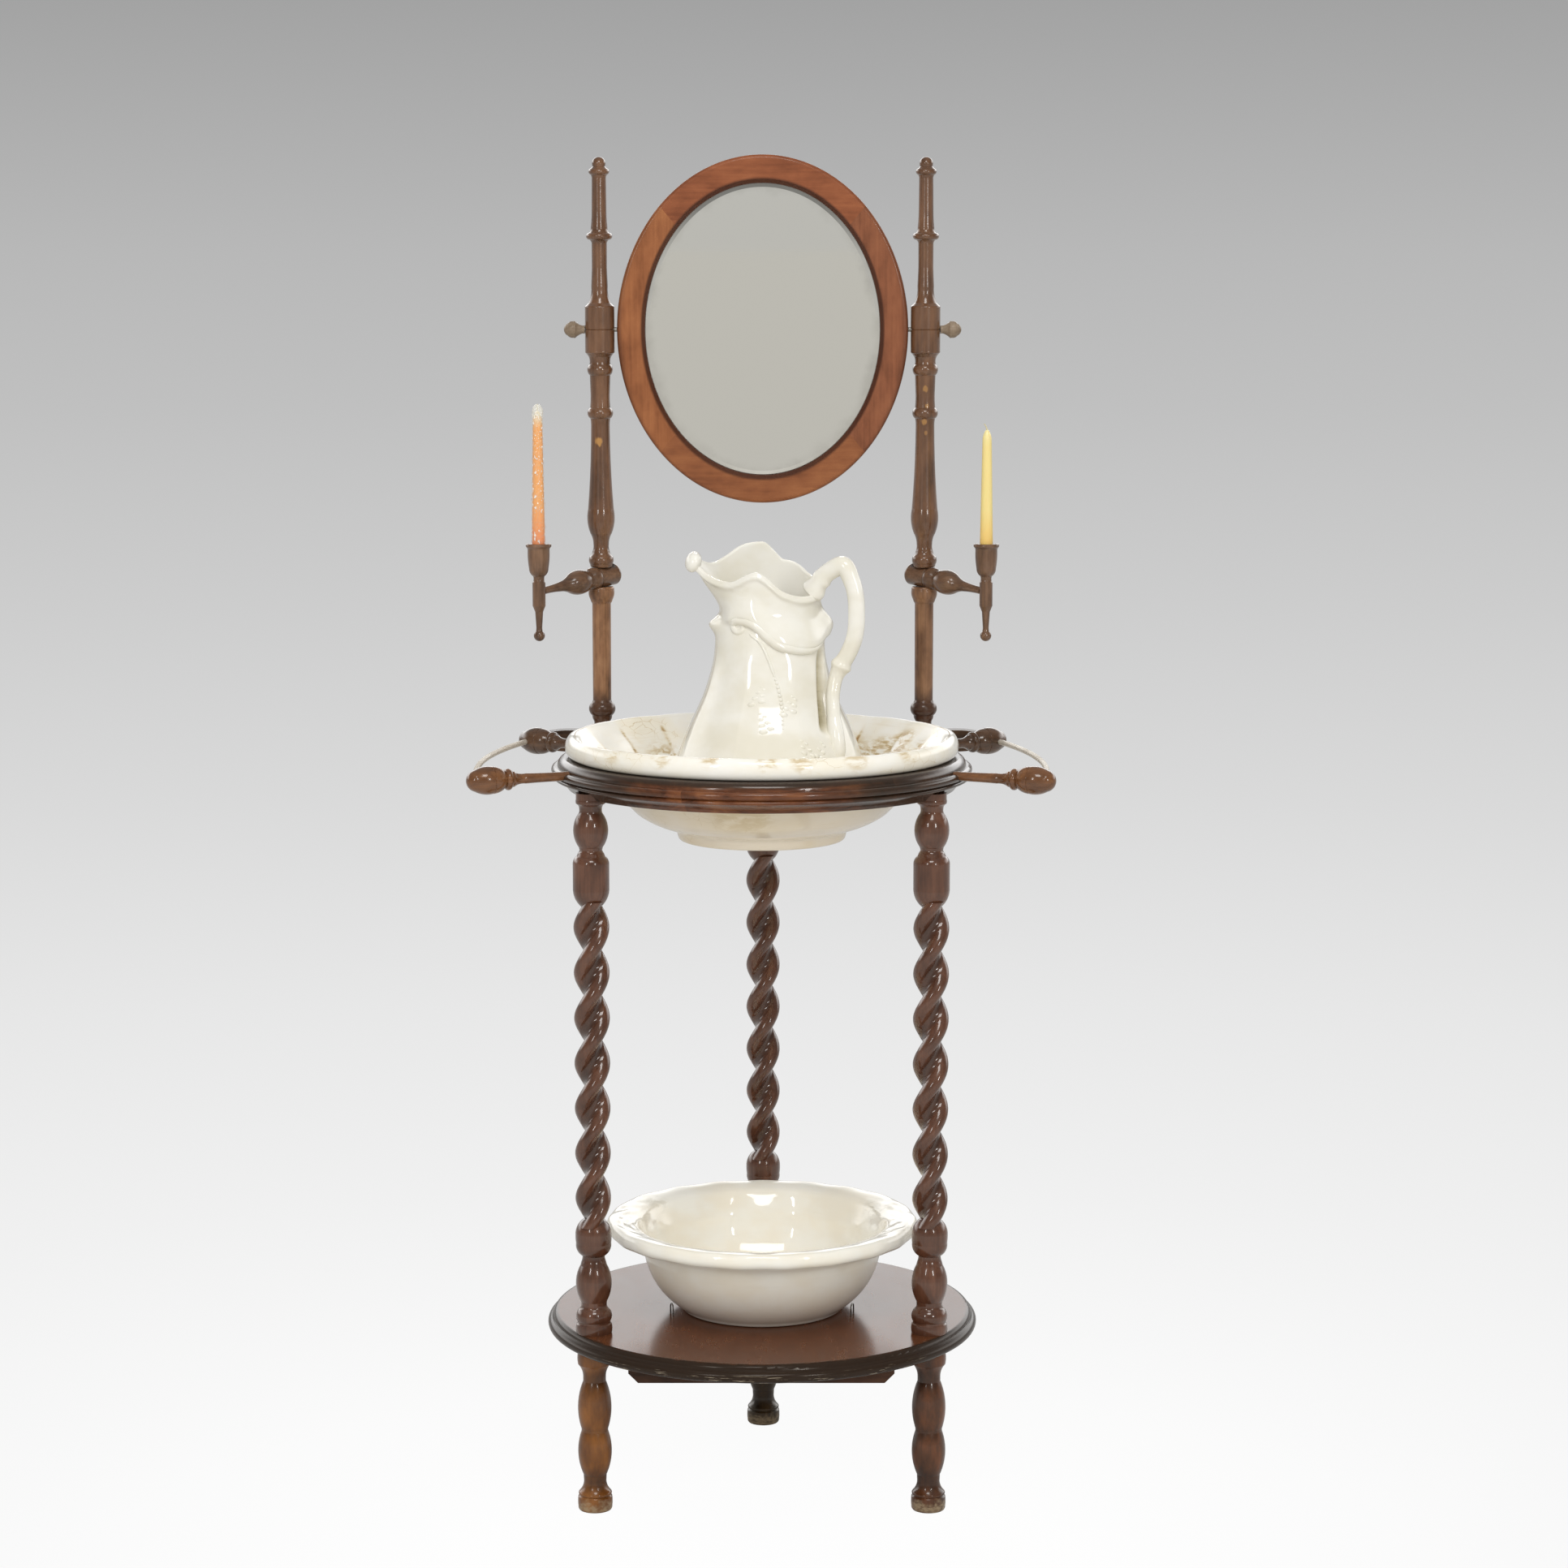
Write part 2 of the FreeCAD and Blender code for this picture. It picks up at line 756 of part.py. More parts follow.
def placed_on_post(shape):
    """Turn a piece made along +X from the swivel's centre to the rest heading on the right post."""
    shape = shape.copy()
    heading = Rotation(UP, -candle_arm_forward_angle)
    swivel = Placement(Vector(post_side, post_line, swivel_height), heading)
    shape.Placement = swivel.multiply(shape.Placement)
    return shape


def cup_axis():
    """Foot of the candle cup's axis on the right side."""
    return Vector(post_side, post_line, 0) + polar(candle_arm_reach, -candle_arm_forward_angle)


def candle_cup():
    """Turned cup on a stem with a drop below, bored for the candle and for the arm's tenon."""
    line = cup_line_height
    top = line + cup_rise
    rows = raised([
        (-cup_drop, 0.0, 0.0),
        (-cup_drop + 13.0, 4.4, 0.0),
        (-cup_drop + 20.0, 4.0, -0.3),
        (-26.0, 5.2, 0.0),
        (-20.0, 7.6, 0.0),
        (-18.0, cup_stem_radius, 0.0),
        (12.0, cup_stem_radius, 0.0),
        (14.0, 7.2, 0.0),
        (20.0, 7.4, -0.4),
    ], line)
    rows += lowered([
        (32.0, 12.6, 1.4),
        (8.0, 14.2, 0.6),
        (5.0, cup_rim_radius - 1.0, -0.3),
        (1.5, cup_rim_radius, 0.6),
        (0.0, cup_rim_radius - 1.0, 0.4),
    ], top)
    cup = turned(rows)
    bore_radius = candle_base_radius + loose_gap
    bore = Part.makeCylinder(bore_radius, cup_bore_depth, Vector(0, 0, top - cup_bore_depth))
    cup = cup.cut(bore).translated(cup_axis())
    return cup.cut(arm_tenon_hole())


def arm_tenon_hole():
    """Slanted hole in the cup's stem, as the arm's end seats in it."""
    droop = math.radians(candle_arm_droop)
    direction = Vector(math.cos(droop), 0, -math.sin(droop))
    stem_face = candle_arm_reach / math.cos(droop) - cup_stem_radius
    tenon = Part.makeCylinder(
        candle_arm_tenon_radius + glue_line,
        candle_arm_tenon_length + glue_line,
        direction * stem_face,
        direction,
    )
    neck = Part.makeCylinder(5.2, 10.0, direction * (stem_face - 10.0), direction)
    return placed_on_post(tenon.fuse(neck))


def candle(length):
    """Tapered candle with a rounded shoulder at its top, standing in the right cup."""
    foot_level = cup_line_height + cup_rise - cup_bore_depth
    top = cup_line_height + cup_rise + length
    return turned([
        (foot_level, candle_base_radius, 0.0),
        (foot_level + cup_bore_depth, candle_base_radius, 0.0),
        (top - 14.0, candle_tip_radius, 0.0),
        (top, 1.6, 1.2),
    ]).translated(cup_axis())


def wick(length):
    """Short cotton wick standing on the candle's top."""
    top = cup_line_height + cup_rise + length
    return Part.makeCylinder(wick_radius, wick_length, Vector(0, 0, top)).translated(cup_axis())


def make_candle_arms():
    arm, cup = candle_arm(), candle_cup()
    lengths = {"left": left_candle_length, "right": right_candle_length}
    for name, side in SIDES.items():
        save("candle_arm_" + name, mirrored(arm, side))
        save("candle_cup_" + name, mirrored(cup, side))
        save("candle_" + name, mirrored(candle(lengths[name]), side))
        save("candle_wick_" + name, mirrored(wick(lengths[name]), side))


# Mirror


def oval(inset, y):
    """Elliptical wire round the pivot, inset from the frame's outside, at a depth."""
    tall, wide = mirror_height / 2 - inset, mirror_width / 2 - inset
    curve = Part.Ellipse(Vector(0, 0, 0), tall, wide)
    wire = Part.Wire([curve.toShape()])
    wire.Placement = Placement(
        Vector(0, y, mirror_pivot_height),
        Rotation(Vector(0, 0, 1), Vector(1, 0, 0), Vector(0, 1, 0), "XYZ"),
    )
    return wire


def oval_plate(inset, front, depth):
    """Elliptical plate from a front plane backwards."""
    return Part.Face(oval(inset, front)).extrude(Vector(0, depth, 0))


def mirror_frame():
    """Oval frame with rounded edges and a rebate behind for the glass and its back panel."""
    front = post_line - mirror_frame_depth / 2
    back = front + mirror_frame_depth
    body = oval_plate(0.0, front, mirror_frame_depth)
    body = body.makeFillet(mirror_frame_round, [e for e in body.Edges if e.Length > mirror_width])
    sight = oval_plate(mirror_frame_width, front - 1.0, mirror_frame_depth + 2.0)
    rebate = oval_plate(mirror_frame_width - rebate_width, back - rebate_depth, rebate_depth + 1.0)
    splay = Part.makeLoft([
        oval(mirror_frame_width - mirror_frame_round, front),
        oval(mirror_frame_width, front + mirror_frame_round),
    ], True, True)
    return body.cut([sight, rebate, splay])


def quadrants():
    """Wedge-shaped blocks that part the frame where its glued lengths meet."""
    reach = mirror_height
    corners = [Vector(0, 0, mirror_pivot_height)] + [
        Vector(0, 0, mirror_pivot_height) + Vector(
            reach * math.cos(math.radians(angle)), 0, reach * math.sin(math.radians(angle)))
        for angle in (
            mirror_joint_angle,
            180 - mirror_joint_angle,
            180 + mirror_joint_angle,
            -mirror_joint_angle,
        )
    ]
    centre, right_top, left_top, left_low, right_low = corners
    wedges = {
        "top": (centre, right_top, left_top),
        "left": (centre, left_top, left_low),
        "bottom": (centre, left_low, right_low),
        "right": (centre, right_low, right_top),
    }
    depth = Vector(0, 2 * post_line, 0)
    return {
        name: Part.Face(Part.makePolygon(list(points) + [points[0]])).extrude(depth)
        for name, points in wedges.items()
    }


def pivot_cylinder(radius, start, length):
    """Cylinder on the pivot line, outwards from a distance on the right side."""
    place = Vector(start, post_line, mirror_pivot_height)
    return Part.makeCylinder(radius, length, place, Vector(1, 0, 0))


def panel_pins():
    """Thin pins driven into the rebate's wall behind the back panel."""
    back = post_line + mirror_frame_depth / 2
    level = back - rebate_depth + glass_thickness + back_panel_thickness + panel_pin_radius + glue_line
    inset = mirror_frame_width - rebate_width
    pins = []
    for index in range(panel_pin_count):
        angle = 2 * math.pi * (index + 0.5) / panel_pin_count
        wide, tall = mirror_width / 2 - inset, mirror_height / 2 - inset
        wall = Vector(wide * math.cos(angle), 0, tall * math.sin(angle))
        outward = Vector(math.cos(angle) / wide, 0, math.sin(angle) / tall).normalize()
        start = Vector(0, level, mirror_pivot_height) + wall - outward * panel_pin_proud
        pins.append((start, outward))
    return pins


def make_mirror():
    side_insert = mirror_width / 2 - pivot_insert_length
    hole = pivot_cylinder(pivot_insert_radius + glue_line, side_insert, 2 * pivot_insert_length)
    pins = panel_pins()
    pin_holes = [
        Part.makeCylinder(panel_pin_radius + glue_line, panel_pin_length, start, outward)
        for start, outward in pins
    ]
    frame = mirror_frame().cut([hole, mirrored(hole, -1)] + pin_holes)
    for name, wedge in quadrants().items():
        save("mirror_frame_" + name, frame.common(wedge))
    glass_front = post_line + mirror_frame_depth / 2 - rebate_depth
    inset = mirror_frame_width - rebate_width + loose_gap
    bevel_seat = glass_front + glass_bevel_depth
    plate = oval_plate(inset, bevel_seat, glass_thickness - glass_bevel_depth)
    bevel_rims = [oval(inset, bevel_seat), oval(inset + glass_bevel_width, glass_front)]
    save("mirror_glass", plate.fuse(Part.makeLoft(bevel_rims, True, True)))
    save("mirror_back", oval_plate(inset, glass_front + glass_thickness, back_panel_thickness))
    pin_solids = [Part.makeCylinder(panel_pin_radius, panel_pin_length, start, out) for start, out in pins]
    save("mirror_back_pins", Part.makeCompound(pin_solids))
    insert = pivot_cylinder(pivot_insert_radius, side_insert, pivot_insert_length - 1.0)
    bore_radius = pivot_screw_radius + running_gap
    insert = insert.cut(pivot_cylinder(bore_radius, side_insert - 1, 2 * pivot_insert_length))
    save("pivot_inserts", Part.makeCompound([insert, mirrored(insert, -1)]))


def pivot_knob():
    """Turned knob along Z from the post's outside, with a socket for its screw."""
    tip = knob_length
    knob = turned([
        (0.0, knob_neck_radius, 0.0),
        (3.0, knob_neck_radius, 0.0),
        (12.0, knob_radius - 0.2, -0.7),
        (14.5, knob_radius - 0.2, 0.3),
        (tip - 5.0, knob_radius - 3.0, 1.1),
        (tip, 0.0, 0.0),
    ])
    return knob.cut(Part.makeCylinder(pivot_screw_radius + glue_line, knob_socket_depth))


def make_pivots():
    knob_face = post_side + post_block_radius + loose_gap
    knob = laid(pivot_knob(), Vector(knob_face, post_line, mirror_pivot_height), Vector(1, 0, 0))
    screw_tip = mirror_width / 2 - pivot_insert_length + 2.0
    screw = pivot_cylinder(pivot_screw_radius, screw_tip, knob_face + knob_socket_depth - screw_tip)
    for name, side in SIDES.items():
        save("pivot_knob_" + name, mirrored(knob, side))
        save("pivot_screw_" + name, mirrored(screw, side))


# Wash set


def basin():
    """Wide basin hung in the ring by its flange, with a rolled lip and a foot."""
    level, seat = basin_foot_level, ring_top_height
    lip = seat + basin_lip_height
    throat = ring_inner_radius - 2.5
    shoulder = level + basin_shoulder_height
    shoulder_radius = basin_shoulder_radius
    return spun([
        (0.0, level + 5.0, 0.0),
        (basin_foot_radius - 12.0, level + 5.0, 0.0),
        (basin_foot_radius - 9.0, level, 0.0),
        (basin_foot_radius - 1.0, level, 0.0),
        (basin_foot_radius + 2.0, level + basin_foot_height, 0.0),
        (shoulder_radius, shoulder, 3.0),
        (throat - 1.5, seat - 3.0, 2.4),
        (throat, seat, 0.0),
        (basin_radius - 9.0, seat, 0.0),
        (basin_radius - 3.0, seat + 4.0, 0.8),
        (basin_radius - 6.0, lip - 1.0, 4.0),
        (basin_radius - 14.0, lip - 1.6, 1.2),
        (throat - 4.0, seat + 2.0, -1.5),
        (shoulder_radius - 4.0, shoulder + basin_wall, -2.0),
        (basin_foot_radius - 4.0, basin_floor, -4.0),
        (0.0, basin_floor, 0.0),
    ])


def lower_bowl():
    """Bowl on the shelf with a wide flat rim, a rounded body and a low foot."""
    level = shelf_top_height
    lip = level + bowl_height
    inner = bowl_opening_radius
    return spun([
        (0.0, level + 4.0, 0.0),
        (bowl_foot_radius - 11.0, level + 4.0, 0.0),
        (bowl_foot_radius - 8.0, level, 0.0),
        (bowl_foot_radius - 1.5, level, 0.0),
        (bowl_foot_radius, level + 4.0, 0.0),
        (inner - 8.0, lip - 34.0, 12.0),
        (inner + 8.0, lip - 23.0, -1.5),
        (bowl_radius - 4.0, lip - 21.0, 0.0),
        (bowl_radius - 4.0, lip - 1.5, 4.2),
        (inner + 5.0, lip - 6.0, 1.0),
        (inner - 4.0, lip - 14.0, 1.6),
        (inner - 15.0, lip - 36.0, 0.0),
        (bowl_foot_radius - 12.0, level + 4.0 + bowl_wall, -12.0),
        (0.0, level + 4.0 + bowl_wall, 0.0),
    ])


def jug_section(height, radius, spout, squeeze):
    """Closed smooth section: a circle drawn out to a spout on the left and squeezed in depth."""
    count = 16
    places = []
    for index in range(count):
        angle = 2 * math.pi * index / count
        to_spout = max(0.0, -math.cos(angle)) ** 3
        reach = radius + spout * to_spout
        depth = radius * squeeze * math.sin(angle)
        places.append(Vector(jug_offset + reach * math.cos(angle), depth, height))
    curve = Part.BSplineCurve()
    curve.interpolate(places, PeriodicFlag=True)
    return Part.Wire([curve.toShape()])


def jug_form(inset, foot_level):
    """Body of the jug from a foot level to above its rim, moved in by an inset."""
    floor, neck = basin_floor, basin_floor + jug_neck_height
    lip = basin_floor + jug_height
    spout = jug_spout_reach - jug_mouth_radius
    rows = [
        (foot_level, jug_base_radius, 0.0, 1.0),
        (floor + 16.0, jug_base_radius + 24.0, 0.0, 1.0),
        (floor + 46.0, jug_belly_radius, 0.0, 1.0),
        (floor + 86.0, jug_belly_radius - 5.0, 0.0, 1.0),
        (neck - 153.0, jug_neck_radius + 42.5, 0.0, 1.0),
        (neck - 103.0, jug_neck_radius + 20.5, 0.0, 1.0),
        (neck - 74.0, jug_neck_radius + 12.0, 0.0, 1.0),
        (neck - 37.0, jug_neck_radius + 5.0, 0.0, 1.0),
        (neck, jug_neck_radius, 0.0, 1.0),
        (neck + (lip - neck) * jug_collar_place, jug_mouth_radius - 5.0, 0.5 * spout, 0.98),
        (lip - 10.0, jug_mouth_radius - 1.0, spout, 0.94),
        (lip + 10.0, jug_mouth_radius, 1.4 * spout, 0.92),
    ]
    sections = [
        jug_section(height, radius - inset, reach, squeeze) for height, radius, reach, squeeze in rows
    ]
    return Part.makeLoft(sections, True, False)


def rim_wave(side):
    """Drops of the rim below its highest point, from the spout to the handle, as (x, drop)."""
    tip, root = -jug_spout_reach - 12.0, jug_mouth_radius + 6.0
    if side < 0:
        waves = [(-78.0, 36.0), (-50.0, 41.5), (-15.0, 30.0), (16.0, 53.0), (45.0, 61.0)]
    else:
        waves = [(-76.0, 23.0), (-46.0, 9.0), (-14.0, 0.0), (12.0, 19.0), (25.0, 24.0), (48.0, 38.0)]
    return [(tip, 6.0)] + waves + [(root, 52.0)]


def rim_trim(side):
    """Block above the waved rim, over the front (-1) or the back (1) half of the jug."""
    top = basin_floor + jug_height
    places = [Vector(jug_offset + x, 0, top - drop) for x, drop in rim_wave(side)]
    wave = Part.BSplineCurve()
    wave.interpolate(places)
    lid_level = top + jug_belly_radius
    corners = [Vector(places[-1].x, 0, lid_level), Vector(places[0].x, 0, lid_level), places[0]]
    closing = [Part.LineSegment(a, b).toShape() for a, b in zip([places[-1]] + corners, corners)]
    face = Part.Face(Part.Wire([wave.toShape()] + closing))
    return face.extrude(Vector(0, side * 2 * jug_belly_radius, 0))


def jug_handle():
    """Handle on an arched path: up from the rim, round, in to a ringed knuckle, and down the body."""
    floor, neck = basin_floor, basin_floor + jug_neck_height
    crown = floor + jug_height - 23.0
    reach = jug_handle_reach
    places = [
        Vector(jug_mouth_radius - 6.0, 0, crown - 29.0),
        Vector(reach - 33.0, 0, crown - 4.0),
        Vector(reach - 19.0, 0, crown),
        Vector(reach - 6.0, 0, crown - 19.0),
        Vector(reach, 0, neck - 5.0),
        Vector(reach - 5.0, 0, neck - 40.0),
        Vector(reach - 16.0, 0, neck - 64.0),
        Vector(jug_neck_radius + 30.0, 0, neck - 84.0),
        Vector(jug_neck_radius + 26.0, 0, neck - 104.0),
        Vector(jug_neck_radius + 29.0, 0, neck - 130.0),
        Vector(jug_neck_radius + 43.0, 0, neck - 170.0),
    ]
    path = Part.BSplineCurve()
    path.interpolate(places)
    handle = piped(Part.Wire([path.toShape()]), jug_handle_radius)
    knuckle = Part.makeTorus(jug_handle_radius - 1.5, 3.0, places[7], places[8] - places[6])
    root = Part.makeCone(
        jug_handle_radius + 5.0,
        jug_handle_radius - 0.5,
        24.0,
        places[0] - (places[1] - places[0]) * 0.15,
        places[1] - places[0],
    )
    handle = handle.fuse([knuckle, root])
    handle.translate(Vector(jug_offset, 0, 0))
    handle.rotate(Vector(jug_offset, 0, 0), UP, jug_handle_turn)
    return handle


def lip_roll():
    """Roll across the end of the spout, rounded at both ends."""
    radius, half = jug_lip_roll_radius, jug_lip_roll_length / 2
    roll = turned([
        (-half, radius - 4.0, 0.0),
        (-half + 4.0, radius, 1.6),
        (half - 4.0, radius, 0.0),
        (half, radius - 4.0, 1.6),
    ])
    place = Vector(jug_offset - jug_spout_reach + radius, 0, basin_floor + jug_height - 21.0)
    return laid(roll, place, Vector(0, 1, 0))


def jug():
    """Ewer standing in the basin: lofted body with spout, waved rim, hollow inside, and handle."""
    body = jug_form(0.0, basin_floor).cut([rim_trim(-1), rim_trim(1)])
    hollow = jug_form(jug_wall, basin_floor + jug_floor_thickness)
    solid = body.fuse(jug_handle()).cut(hollow).fuse(lip_roll())
    return max(solid.Solids, key=lambda part: part.Volume)


def make_wash_set():
    save("basin", basin())
    save("lower_bowl", lower_bowl())
    save("jug", jug())


os.makedirs("parts", exist_ok=True)
make_legs()
make_shelf()
make_towel_rails()
make_upper_frame()
make_candle_arms()
make_mirror()
make_pivots()
make_wash_set()
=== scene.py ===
"""Looks of a round washstand with twisted columns, a swing mirror, candle arms and a wash set.

Classes hold their sizes in millimetres; meshes are written in metres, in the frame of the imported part.
"""

import logging
import math
from dataclasses import dataclass
from enum import Enum
from typing import Optional, Sequence, Union

import bpy
import numpy as np
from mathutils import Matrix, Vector


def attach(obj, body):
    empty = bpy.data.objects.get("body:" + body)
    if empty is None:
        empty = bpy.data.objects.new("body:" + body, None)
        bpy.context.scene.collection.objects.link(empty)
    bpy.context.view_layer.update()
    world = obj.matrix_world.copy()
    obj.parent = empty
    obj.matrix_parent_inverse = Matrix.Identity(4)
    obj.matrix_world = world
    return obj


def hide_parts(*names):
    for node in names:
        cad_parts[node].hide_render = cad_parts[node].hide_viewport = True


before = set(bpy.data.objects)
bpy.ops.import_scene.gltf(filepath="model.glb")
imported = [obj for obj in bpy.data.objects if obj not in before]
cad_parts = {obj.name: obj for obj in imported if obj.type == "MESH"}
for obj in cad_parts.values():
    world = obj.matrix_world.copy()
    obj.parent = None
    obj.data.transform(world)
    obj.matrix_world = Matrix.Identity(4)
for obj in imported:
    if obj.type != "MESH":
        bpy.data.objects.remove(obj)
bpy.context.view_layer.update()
log = logging.getLogger("washstand")

Colour = tuple[float, float, float]
Pair = tuple[float, float]
Triple = tuple[float, float, float]
Value = Union["Wire", float]
Numbers = Union[float, np.ndarray]
MM = 0.001
TAU = 2.0 * math.pi
UP = np.array([0.0, 0.0, 1.0])
# Direction of each side along x, and the number that its patterns start from
HANDS = {"left": -1, "right": 1}
SEEDS = {"left": 4.0, "right": 5.0}
# Front and back of the jug as directions along y
FRONT_AND_BACK = (-1, 1)
# Share of a spot's radius inside which it has its full strength
SPOT_CORE = 0.55


def paint(red: int, green: int, blue: int) -> Colour:
    """Turn a colour chip into linear light with the usual screen curve.

    Args:
        red: Red from 0 to 255, as a screen shows it.
        green: Green from 0 to 255.
        blue: Blue from 0 to 255.

    Returns:
        The three linear values.
    """
    chip = np.array([red, green, blue]) / 255.0
    linear = np.where(chip <= 0.04045, chip / 12.92, ((chip + 0.055) / 1.055) ** 2.4)
    return tuple(float(value) for value in linear)


class Grain(Enum):
    """Direction in which the fibres of a board or turning run."""

    X = 0
    Y = 1
    Z = 2

    def size(self, across: float, along: float) -> Triple:
        """Give one pattern cell's sides, long in the grain's direction.

        Args:
            across: Width of a cell over the grain.
            along: Length of a cell down the grain.

        Returns:
            The cell's three sides.
        """
        sides = [across] * 3
        sides[self.value] = along
        return tuple(sides)


@dataclass(frozen=True)
class Spot:
    """Round mark on a surface: a chip in a finish or a stain in a glaze."""

    x: float
    y: float
    z: float
    size: float
    strength: float = 1.0
    ragged: float = 1.1


class Wire:
    """A node's output on which sums are written as Python expressions."""

    def __init__(self, shader: "Shader", socket: bpy.types.NodeSocket) -> None:
        """Keep the shader that the socket belongs to, and the socket."""
        self.shader = shader
        self.socket = socket

    def _math(self, operation: str, first: Value, second: Value = 0.0) -> "Wire":
        """Add one Math node on two values."""
        return self.shader.add("ShaderNodeMath", {"operation": operation}, {0: first, 1: second})

    def __add__(self, other: Value) -> "Wire":
        """Sum with another value."""
        return self._math("ADD", self, other)

    def __radd__(self, other: Value) -> "Wire":
        """Sum with a number on the left."""
        return self._math("ADD", other, self)

    def __sub__(self, other: Value) -> "Wire":
        """Difference from another value."""
        return self._math("SUBTRACT", self, other)

    def __rsub__(self, other: Value) -> "Wire":
        """Difference of a number on the left."""
        return self._math("SUBTRACT", other, self)

    def __mul__(self, other: Value) -> "Wire":
        """Product with another value."""
        return self._math("MULTIPLY", self, other)

    def __rmul__(self, other: Value) -> "Wire":
        """Product with a number on the left."""
        return self._math("MULTIPLY", other, self)

    def __truediv__(self, other: Value) -> "Wire":
        """Quotient by another value."""
        return self._math("DIVIDE", self, other)

    def __rtruediv__(self, other: Value) -> "Wire":
        """Quotient of a number on the left."""
        return self._math("DIVIDE", other, self)

    def most(self, other: Value) -> "Wire":
        """Larger of two values."""
        return self._math("MAXIMUM", self, other)

    def hypot(self, other: "Wire") -> "Wire":
        """Distance over two sides: the root of the sum of their squares."""
        square = self * self + other * other
        return self._math("SQRT", square)

    def sine(self) -> "Wire":
        """Sine of an angle in radians."""
        return self._math("SINE", self)

    def cosine(self) -> "Wire":
        """Cosine of an angle in radians."""
        return self._math("COSINE", self)

    def nearest(self) -> "Wire":
        """Nearest whole number."""
        return self._math("ROUND", self)

    def angle_from(self, other: Value) -> "Wire":
        """Angle of the point (other, self) about the origin."""
        return self._math("ARCTAN2", self, other)

    def sway(self, cloud: "Wire", reach: float) -> "Wire":
        """Value moved to and fro by a cloudy value about one half."""
        return self + (cloud - 0.5) * reach

    def step(self, low: float, high: float) -> "Wire":
        """Rise smoothly from 0 at low to 1 at high; falls where low is the larger.

        Args:
            low: Value at which the result is 0.
            high: Value at which the result is 1.

        Returns:
            The smooth step.
        """
        settings = {"interpolation_type": "SMOOTHSTEP"}
        return self.shader.add("ShaderNodeMapRange", settings, {0: self, 1: low, 2: high})

    def step_at(self, low: float, high: float) -> "Wire":
        """Smooth step of a coordinate between two places in millimetres."""
        return self.step(low * MM, high * MM)


